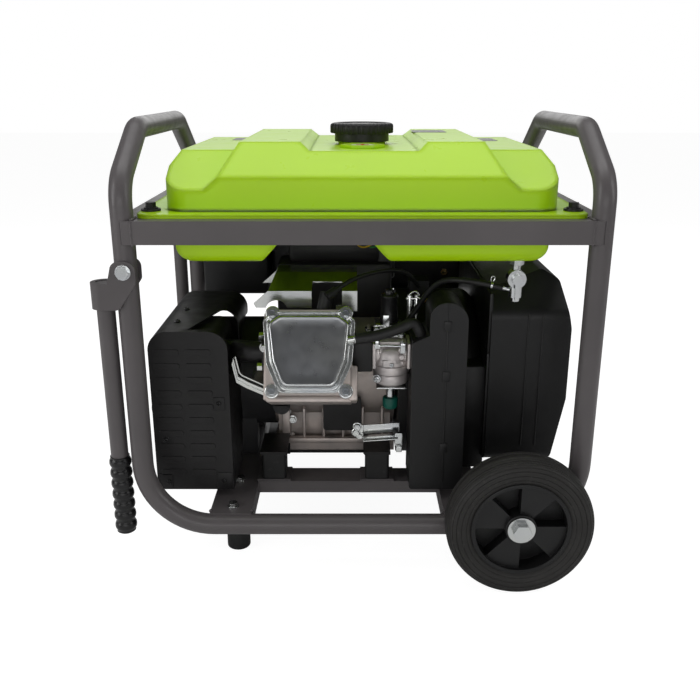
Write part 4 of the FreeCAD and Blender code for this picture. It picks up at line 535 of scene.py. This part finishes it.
def pressed_valve_cover():
    """Pressed cover: rolled flange, four bolt ears and a flat middle with a painted dark reflection."""
    cover = Shape(CYLINDER)
    steps = [(5.5, 262.1), (6.2, 263.0), (6.2, 266.2), (5.6, 267.4), (4.4, 267.6), (3.4, 267.0), (1.6, 265.9),
             (-0.4, 265.9), (-1.8, 266.6), (-3.0, 269.0), (-4.2, 274.5), (-5.4, 277.6), (-7.2, 279.4),
             (-9.0, 279.9), (-10.6, 279.3), (-12.6, 278.8), (-30, 279.2)]
    points = 160
    cover.rings([[Vector((p.x, p.y, z)) for p in cover_outline(grow, points)] for grow, z in steps])
    for sx in (-1, 1):
        for sy in (-1, 1):
            cover.lathe([(10.8, 262.1), (11.3, 263), (11.3, 266.0), (10.6, 267.0), (8.6, 267.0)],
                        (sx * COVER_BOLT_X, sy * COVER_BOLT_Y, 0), (0, 0, 1), 40)
    made = cover.make("pressed_valve_cover", "zinc", sharp=60)
    # The flat middle takes a darker zinc: a painted dark reflection.
    made.data.materials.append(EXTRA["painted_dark_reflection_zinc"].material)
    inner_faces = points * 13
    skin_faces = points * (len(steps) - 1)
    for face in made.data.polygons:
        if inner_faces <= face.index < skin_faces or face.index == skin_faces + 1:
            face.material_index = 1
    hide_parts("valve_cover")


def breather_nozzle():
    """Barb inside the end of the breather hose."""
    nozzle = Shape()
    nozzle.lathe([(6.0, -30), (6.0, 2), (7.2, 3), (7.2, 5), (6.0, 6)], (-13, -214.9, 365.5),
                 (0.986, -0.034, 0.13), 24)
    nozzle.make("breather_nozzle", "zinc")


def cover_flange_bolts():
    """Four bolts of the valve cover."""
    cover_bolts = Shape(CYLINDER)
    for sx in (-1, 1):
        for sy in (-1, 1):
            hex_bolt(cover_bolts, (sx * COVER_BOLT_X, sy * COVER_BOLT_Y, 267.0), (0, 0, 1), 11, 6.0, 7.8, 1.4)
    cover_bolts.make("cover_flange_bolts", "blued")


# ---------------------------------------------------------------- carburettor


def cast_carburettor():
    """Body, flanges, float bowl and fuel inlet."""
    carb = Shape()
    carb.lathe([(19, 0), (19.5, 1), (19.5, 8), (18.5, 9), (18.5, 42), (19.5, 43), (19.5, 50)],
               (20, CARB_Y, CARB_Z), (1, 0, 0), 48)
    carb.block((17, CARB_Y - 26, CARB_Z - 21), (23, CARB_Y + 26, CARB_Z + 21), 2.5)
    carb.block((71, CARB_Y - 26, CARB_Z - 21), (77, CARB_Y + 26, CARB_Z + 21), 2.5)
    carb.lathe([(27.0, -4), (28.4, -2.5), (28.4, 3), (27.6, 4), (26.0, 14), (22, 22), (15, 27)],
               (47, CARB_Y, 320), (0, 0, 1), 64)
    carb.lathe([(4, -21.5), (17.0, -21), (18.6, -19.6), (19.5, -17), (26.4, -15.4), (27.3, -13), (27.4, -1.4),
                (26.4, 0)],
               (47, CARB_Y, 301.5), (0, 0, 1), 64)
    carb.lathe([(27.9, -0.6), (28.3, 0), (28.3, 11.8), (27.8, 12.6)], (47, CARB_Y, 303), (0, 0, 1), 64)
    for y, z, r in ((-202, 343, 5.2), (-205, 333, 4.2), (-200, 322, 3.4)):
        carb.lathe([(r, 0), (r, 5), (r - 0.8, 6)], (62, y + 4, z), (0.15, -1, 0.1), 24)
    carb.block((33, -205, 316), (55, -196, 328), 2.0)
    carb.block((28, -196, 348), (70, -162, 356), 2.0)
    carb.pipe([(47, -178, 352), (47, -160, 352), (60, -134, 350), (64, -131, 343)], 3.6)
    made = carb.make("cast_carburettor", "carb_alloy")
    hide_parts("carburetor")


def heat_insulator():
    """Block between the head and the carburettor."""
    insulator = Shape()
    insulator.block((-14, CARB_Y - 26, CARB_Z - 25), (17, CARB_Y + 26, CARB_Z + 23), 2.0)
    insulator.make("heat_insulator", "black_plastic")


def carburettor_linkage():
    """Screws, levers, rods and brackets on the carburettor."""
    trim = Shape()
    cross_screw(trim, (24.5, -199.5, 296.5), (-0.25, -1, 0), 5.2, 6.6)
    cross_screw(trim, (47, -206, 321), (0, -1, 0), 3.6)
    cross_screw(trim, (62, -204, 343), (0.15, -1, 0.1), 3.2)
    trim.lathe([(6.6, 0), (6.6, 20), (6.1, 21)], (47, CARB_Y, 259), (0, 0, 1), 32)
    trim.block((24, -201, 279.6), (71, -160, 281.6), 0.6)
    trim.pipe([(26, -203, 351), (38, -204, 352), (52, -204, 351.5), (62, -203, 351)], 1.9, tight=True)
    trim.block((60, -207, 340), (68, -199, 356), 1.0)
    trim.block((20, -205, 347), (29, -199, 354), 1.0)
    trim.lathe([(4.2, 0), (4.2, 6), (3.6, 7)], (24, -202, 353), (0, 0, 1), 6)
    trim.lathe([(3.8, 0), (3.8, 2.2), (3.0, 2.8)], (63, -203, 355), (0, 0, 1), 6)
    trim.pipe([(24, -202, 358), (24, -201, 366), (34, -199, 368), (43, -185, 368), (43, -171, 369)], 1.3)
    trim.block((20, -170, 364), (66, -168, 374), 0.6)
    trim.block((22, -172, 374), (64, -136, 375.6), 0.6)
    trim.block((34, -174, 366), (44, -171.5, 392), 0.8)
    trim.lathe([(5, 0), (5, 4), (4.4, 5)], (24, -174, 369), (0, -1, 0), 6)
    trim.make("carburettor_linkage", "zinc")


def governor_posts():
    """Two posts with their plates and links."""
    posts = Shape()
    for x in (79, 90):
        posts.lathe([(4.4, 0), (4.4, 46), (3.6, 48)], (x, -120, 364), (0, 0, 1), 24)
    posts.block((73, -124, 404), (98, -117, 407), 0.6)
    posts.block((84, -125, 364), (97, -117, 366), 0.6)
    posts.pipe([(78, -121, 412), (84, -121, 417), (90, -121, 417), (94, -121, 411)], 1.5)
    posts.pipe([(88, -123, 409), (100, -124, 405), (112, -124, 401)], 1.7)
    posts.make("governor_posts", "zinc")


def adjuster_nuts():
    """Brass nuts on the governor link."""
    nut = Shape()
    nut.lathe([(5.2, 0), (5.2, 6), (4.6, 6.6)], (98, -123.5, 406), (1, 0, -0.35), 6)
    nut.lathe([(3.4, 0), (3.4, 4), (2.6, 5)], (104.5, -124, 404), (1, 0, -0.35), 16)
    nut.make("adjuster_nuts", "brass")


def choke_actuator():
    """Black can above the carburettor."""
    coil = Shape()
    coil.lathe([(13.5, 0), (14.2, 1), (14.2, 6), (13.6, 7), (13.6, 40), (14.2, 41), (14.2, 44), (12.6, 46)],
               (44, -156, 376), (0, 0, 1), 48)
    coil.lathe([(7, 0), (7, 6), (5.6, 8)], (44, -156, 422), (0, 0, 1), 32)
    coil.make("choke_actuator", "gloss_black")


def shutoff_solenoid():
    """Teal cap under the float bowl."""
    teal = Shape()
    teal.lathe([(8.6, -19), (10.4, -17.6), (12.2, -15.4), (12.4, -2), (11.6, 0), (9.4, 0.4)],
               (47, CARB_Y, 258), (0, 0, 1), 12)
    teal.make("shutoff_solenoid", "teal")


# ---------------------------------------------------------------- guard, engine trim and small parts


def guard_screws():
    """Screws of the exhaust guard."""
    shield_screws = Shape()
    for x, z in ((-310, 196), (-223.5, 258), (-310, 122), (-221, 124)):
        cross_screw(shield_screws, (x, -207, z), (0, -1, 0), 3.8, 5.6)
    for x, y in ((-292, -150), (-291, -76)):
        cross_screw(shield_screws, (x, y, 375), (0, 0, 1), 3.8, 5.6)
    shield_screws.make("guard_screws", "gloss_black")


def guard_tabs():
    """Tabs under the screws of the exhaust guard."""
    tabs = Shape()
    tabs.block((-232, -208.2, 246), (-214, -206.6, 268), 0.5)
    tabs.block((-232, -208.2, 110), (-208, -206.6, 138), 0.5)
    tabs.block((-327, -208.2, 110), (-304, -206.6, 136), 0.5)
    tabs.make("guard_tabs", "black_sheet")


def drip_guard():
    """Bent zinc plate under the float bowl, with its bolts."""
    drip = Shape()
    tilt = Matrix.Rotation(math.radians(-4), 3, "Y")
    pivot = (30, -191, 208)
    drip.block((0, -192, 201), (62, -190.4, 216), 0.6, tilt, pivot)
    drip.block((2, -214, 197), (58, -190.4, 198.6), 0.6, tilt, pivot)
    drip.block((54, -206, 184), (66, -204, 206), 0.8)
    drip.block((56, -212, 176), (65, -204.4, 185), 0.8)
    drip.block((-10, -196, 196), (4, -190, 216), 1.2)
    hex_bolt(drip, (-6, -196, 214), (0, -1, 0), 10, 5, 7)
    hex_bolt(drip, (-8, -196, 204), (0, -1, 0), 10, 5, 7)
    hex_bolt(drip, (-2, -196, 198), (0, -1, 0), 8, 4, 6)
    drip.make("drip_guard", "zinc")


def baffle_lip():
    """Folded front edge of the lower air baffle."""
    baffle = Shape()
    line = [(-197, 334), (-191, 304), (-176, 295), (-128, 273), (-104, 271), (-14, 271)]
    for drop, depth, front in ((0.6, 3.4, -209.5), (6.6, 4.6, -207.5)):
        loops = []
        for x, z in line:
            loops.append([(x - 0.3 * drop, front, z - drop), (x - 0.3 * drop, -205, z - drop),
                          (x - 0.3 * (drop + depth), -205, z - drop - depth),
                          (x - 0.3 * (drop + depth), front, z - drop - depth)])
        baffle.rings(loops)
    loops = []
    for x, z in line:
        loops.append([(x, -205.5, z - 0.6), (x, -204, z - 0.6),
                      (x - 3, -204, z - 11), (x - 3, -205.5, z - 11)])
    baffle.rings(loops)
    baffle.make("baffle_lip", "zinc", sharp=20)


def lower_air_plate():
    """Black plate on the front of the crankcase."""
    plate_black = Shape()
    outline = rounded([(-64, 160), (2, 160), (2, 222), (-64, 222)], [6, 6, 6, 10], 64)
    plate_black.rings([[Vector((p.x, y, p.y)) for p in outline] for y in (-85, -88)])
    plate_black.make("lower_air_plate", "black_sheet")


def engine_screws():
    """Bolts on the crankcase and beside the valve cover."""
    hidden = Shape()
    for x, y, z in ((-128, -70, 188), (-118, -76, 176), (52, -70, 250), (52, -74, 228)):
        hex_bolt(hidden, (x, y, z), (0, -1, 0.1), 10, 5, 7.5)
    hex_bolt(hidden, (-150, -197, 347), (0, -1, 0), 11, 7, 8)
    hidden.make("engine_screws", "zinc")


def rear_air_duct():
    """Dark duct behind the cylinder."""
    duct = Shape()
    duct.block((-150, 44, 300), (58, 128, 428), 8)
    duct.block((-128, 58, 426), (40, 150, 470), 10)
    duct.block((30, 60, 396), (64, 130, 452), 6)
    duct.make("rear_air_duct", "black_sheet")


def panel_back_boxes():
    """Boxes on the back of the control panel."""
    box_dark = Shape()
    box_dark.block((-300, 150, 345), (-176, 238, 500), 5)
    box_dark.block((-170, 190, 330), (-20, 239, 470), 6)
    box_dark.make("panel_back_boxes", "black_plastic")


def tank_end_bracket():
    """Bracket under the tank, at the exhaust end."""
    bracket = Shape()
    for x in (-292, -272):
        bracket.block((x, 60, 452), (x + 3, 150, 498), 1.0)
    bracket.block((-292, 58, 448), (-150, 61, 500), 1.0)
    for x, z in ((-280, 462), (-262, 462), (-280, 486)):
        cross_screw(bracket, (x, 58, z), (0, -1, 0), 4, 6)
    bracket.make("tank_end_bracket", "black_sheet")


def head_castings():
    """Fins and walls of the cylinder head."""
    head_fins = Shape(CYLINDER)
    for k in range(6):
        low = 196 + 11 * k
        head_fins.block((-70, -72, low), (-60, 62, low + 3.2), 0.8)
    head_fins.block((-66, -76, 192), (66, -66, 258), 3)
    head_fins.block((60, -74, 192), (74, -20, 262), 3)
    head_fins.make("head_castings", "cast_alloy")


def crankcase_ribs():
    """Ribs and foot edge of the crankcase."""
    case = Shape()
    case.block((-136, -82, 150), (-122, -70, 196), 2)
    for x in (-100, -66, -32, 2, 36):
        case.block((x, -84, 138), (x + 5, -72, 200), 1.6)
    case.block((-140, -90, 136), (52, -78, 146), 2)
    case.make("crankcase_ribs", "cast_alloy")


def wires():
    """Three short wires above the engine."""
    for name, x, finish in (("wire_red", 30, "red"), ("wire_yellow", -14, "yellow"),
                            ("wire_green", 2, "green")):
        wire = Shape()
        wire.pipe([(x, 30, 478), (x + 14, 10, 462), (x + 34, -4, 470), (x + 52, 8, 484)], 1.5, 10)
        wire.make(name, finish)


def hose_clip():
    """Spring clip on the fuel line at the tap."""
    clip = Shape()
    clip.lathe([(5.6, 0), (6.2, 0.5), (6.2, 3.5), (5.6, 4)], (199, -190, 443.8), (-0.97, 0, 0.24), 24)
    clip.pipe([(197, -190, 449), (196, -190, 456), (200, -190, 459), (203, -190, 455), (200, -190, 450)],
              0.9, 8)
    clip.make("hose_clip", "zinc")


def cover_back_wall():
    """Inner walls behind the end cover."""
    back_wall = Shape()
    back_wall.block((201, -163, 326), (207, 209, 424), 1.5)
    back_wall.block((201, -163, 143), (207, -68, 326), 1.5)
    back_wall.block((201, 114, 143), (207, 209, 326), 1.5)
    back_wall.block((160, -150, 118), (206, -60, 300), 6)
    back_wall.make("cover_back_wall", "black_plastic")


def cover_ridges():
    """Two upright ridges on the end cover."""
    ridges = Shape()
    for x in (262, 285):
        ridges.block((x, -168.4, 168), (x + 2.5, -166.5, 392), 0.8)
    ridges.make("cover_ridges", "black_plastic")


def air_cleaner_seam():
    """Seam and clips along the air cleaner."""
    seam = Shape()
    seam.block((128.6, -222.9, 128), (131.4, -221.4, 398), 0.6)
    for z in (180, 300, 380):
        seam.block((124, -223.6, z), (136, -221.4, z + 16), 0.8)
    seam.make("air_cleaner_seam", "black_plastic")


def bare_labels():
    """Blank plates where labels sit on the tank."""
    labels = [("rear_label_left", [(-222, 60), (-182, 60), (-182, 120), (-222, 120)], 642),
              ("rear_label_right", [(186, 40), (236, 40), (236, 110), (186, 110)], 642),
              ("rear_label_middle", [(92, 60), (150, 60), (150, 130), (92, 130)], 655)]
    for name, corners, lift in labels:
        label(name, corners, lift + 0.05)


# ---------------------------------------------------------------- frame welds


def weld_beads():
    """Weld runs of the frame."""
    beads = Shape()
    for sx in (-1, 1):
        for sy in (-1, 1):
            for edge in (-1, 1):
                beads_y = sy * FRAME_Y + edge * 15.4
                weld(beads, (sx * 319.2, beads_y * 0.999, 524), (sx * 319.2, beads_y * 0.999, 555), 2.2)
            weld(beads, (sx * 318.6, sy * 281, 557), (sx * 318.6, sy * 253, 557), 1.9)
            weld(beads, (sx * 319, sy * 281, 522), (sx * 319, sy * 253, 522), 1.9)
    for x in (-237, -172, 130, 194):
        for sy in (-1, 1):
            weld(beads, (x, sy * 252, 95), (x, sy * 259, 97), 2.2)
            weld(beads, (x, sy * 251, 70), (x, sy * 251, 95), 2.2)
    for x in (213, 257):
        for sy in (-1, 1):
            weld(beads, (x, sy * 251.5, 84), (x, sy * 251.5, 112), 2.0)
    beads.make("weld_beads", "frame_paint")


# ---------------------------------------------------------------- floor, camera, light

def stage_floor():
    """Pale floor, near white to the camera, that keeps a soft shadow."""
    mesh = bpy.data.meshes.new("floor")
    size = 12.0
    corners = [(-size, -size, 0), (size, -size, 0), (size, size, 0), (-size, size, 0)]
    mesh.from_pydata(corners, [], [(0, 1, 2, 3)])
    floor = bpy.data.objects.new("floor", mesh)
    bpy.context.scene.collection.objects.link(floor)
    material = bpy.data.materials.new("pale_floor")
    material.use_nodes = True
    tree = material.node_tree
    shader = tree.nodes["Principled BSDF"]
    shader.inputs["Base Color"].default_value = (0.93, 0.93, 0.93, 1)
    shader.inputs["Roughness"].default_value = 0.9
    shader.inputs["Specular IOR Level"].default_value = 0.1
    white = tree.nodes.new("ShaderNodeEmission")
    white.inputs["Strength"].default_value = 1.33
    path = tree.nodes.new("ShaderNodeLightPath")
    share = tree.nodes.new("ShaderNodeMath")
    share.operation = "MULTIPLY"
    share.inputs[1].default_value = 0.7
    mix = tree.nodes.new("ShaderNodeMixShader")
    tree.links.new(path.outputs["Is Camera Ray"], share.inputs[0])
    tree.links.new(share.outputs[0], mix.inputs[0])
    tree.links.new(shader.outputs[0], mix.inputs[1])
    tree.links.new(white.outputs[0], mix.inputs[2])
    tree.links.new(mix.outputs[0], tree.nodes["Material Output"].inputs[0])
    mesh.materials.append(material)


def pale_world():
    """White to the camera, dim to everything else."""
    world = bpy.data.worlds.new("studio")
    bpy.context.scene.world = world
    world.use_nodes = True
    tree = world.node_tree
    background = tree.nodes["Background"]
    background.inputs["Color"].default_value = (1, 1, 1, 1)
    path = tree.nodes.new("ShaderNodeLightPath")
    strength = tree.nodes.new("ShaderNodeMapRange")
    strength.inputs["To Min"].default_value = 0.16
    strength.inputs["To Max"].default_value = 1.0
    tree.links.new(path.outputs["Is Camera Ray"], strength.inputs["Value"])
    tree.links.new(strength.outputs[0], background.inputs["Strength"])


def area_light(name, place, target, size, power):
    """Rectangular lamp aimed at a target."""
    lamp = bpy.data.lights.new(name, "AREA")
    lamp.shape = "RECTANGLE"
    lamp.size, lamp.size_y = size
    lamp.energy = power
    holder = bpy.data.objects.new(name, lamp)
    holder.location = place
    holder.rotation_euler = (Vector(target) - Vector(place)).to_track_quat("-Z", "Y").to_euler()
    bpy.context.scene.collection.objects.link(holder)


wheels_and_grips()
ribbed_fuel_cap()
gauge_dial()
gauge_pointer()
pressed_valve_cover()
breather_nozzle()
cover_flange_bolts()
cast_carburettor()
heat_insulator()
carburettor_linkage()
governor_posts()
adjuster_nuts()
choke_actuator()
shutoff_solenoid()
guard_screws()
guard_tabs()
drip_guard()
baffle_lip()
lower_air_plate()
engine_screws()
rear_air_duct()
panel_back_boxes()
tank_end_bracket()
head_castings()
crankcase_ribs()
wires()
hose_clip()
cover_back_wall()
cover_ridges()
air_cleaner_seam()
bare_labels()
weld_beads()
stage_floor()
pale_world()
area_light("top_softbox", (0.0, 0.0, 2.3), (0, 0, 0.3), (2.2, 1.5), 25)
area_light("left_softbox", (-2.3, -1.3, 1.2), (0, 0, 0.35), (0.8, 1.8), 24)
area_light("right_softbox", (2.3, -0.9, 1.4), (0, 0, 0.35), (0.8, 1.8), 15)
area_light("front_fill", (0.0, -2.9, 0.75), (0, 0, 0.3), (2.4, 0.7), 15)
area_light("back_light", (0.0, 2.4, 1.6), (0, 0, 0.4), (2.0, 1.2), 12)

CAMERA_LENS = 42.12
CAMERA_DOWN = 18.0
camera_data = bpy.data.cameras.new("camera")
camera_data.lens = CAMERA_LENS
camera_data.sensor_width = 36.0
camera = bpy.data.objects.new("camera", camera_data)
camera.location = (0.00085, -1.404, 0.735)
camera.rotation_euler = (math.radians(90 - CAMERA_DOWN), 0, 0)
bpy.context.scene.collection.objects.link(camera)
bpy.context.scene.camera = camera
bpy.context.scene.view_settings.view_transform = "Standard"
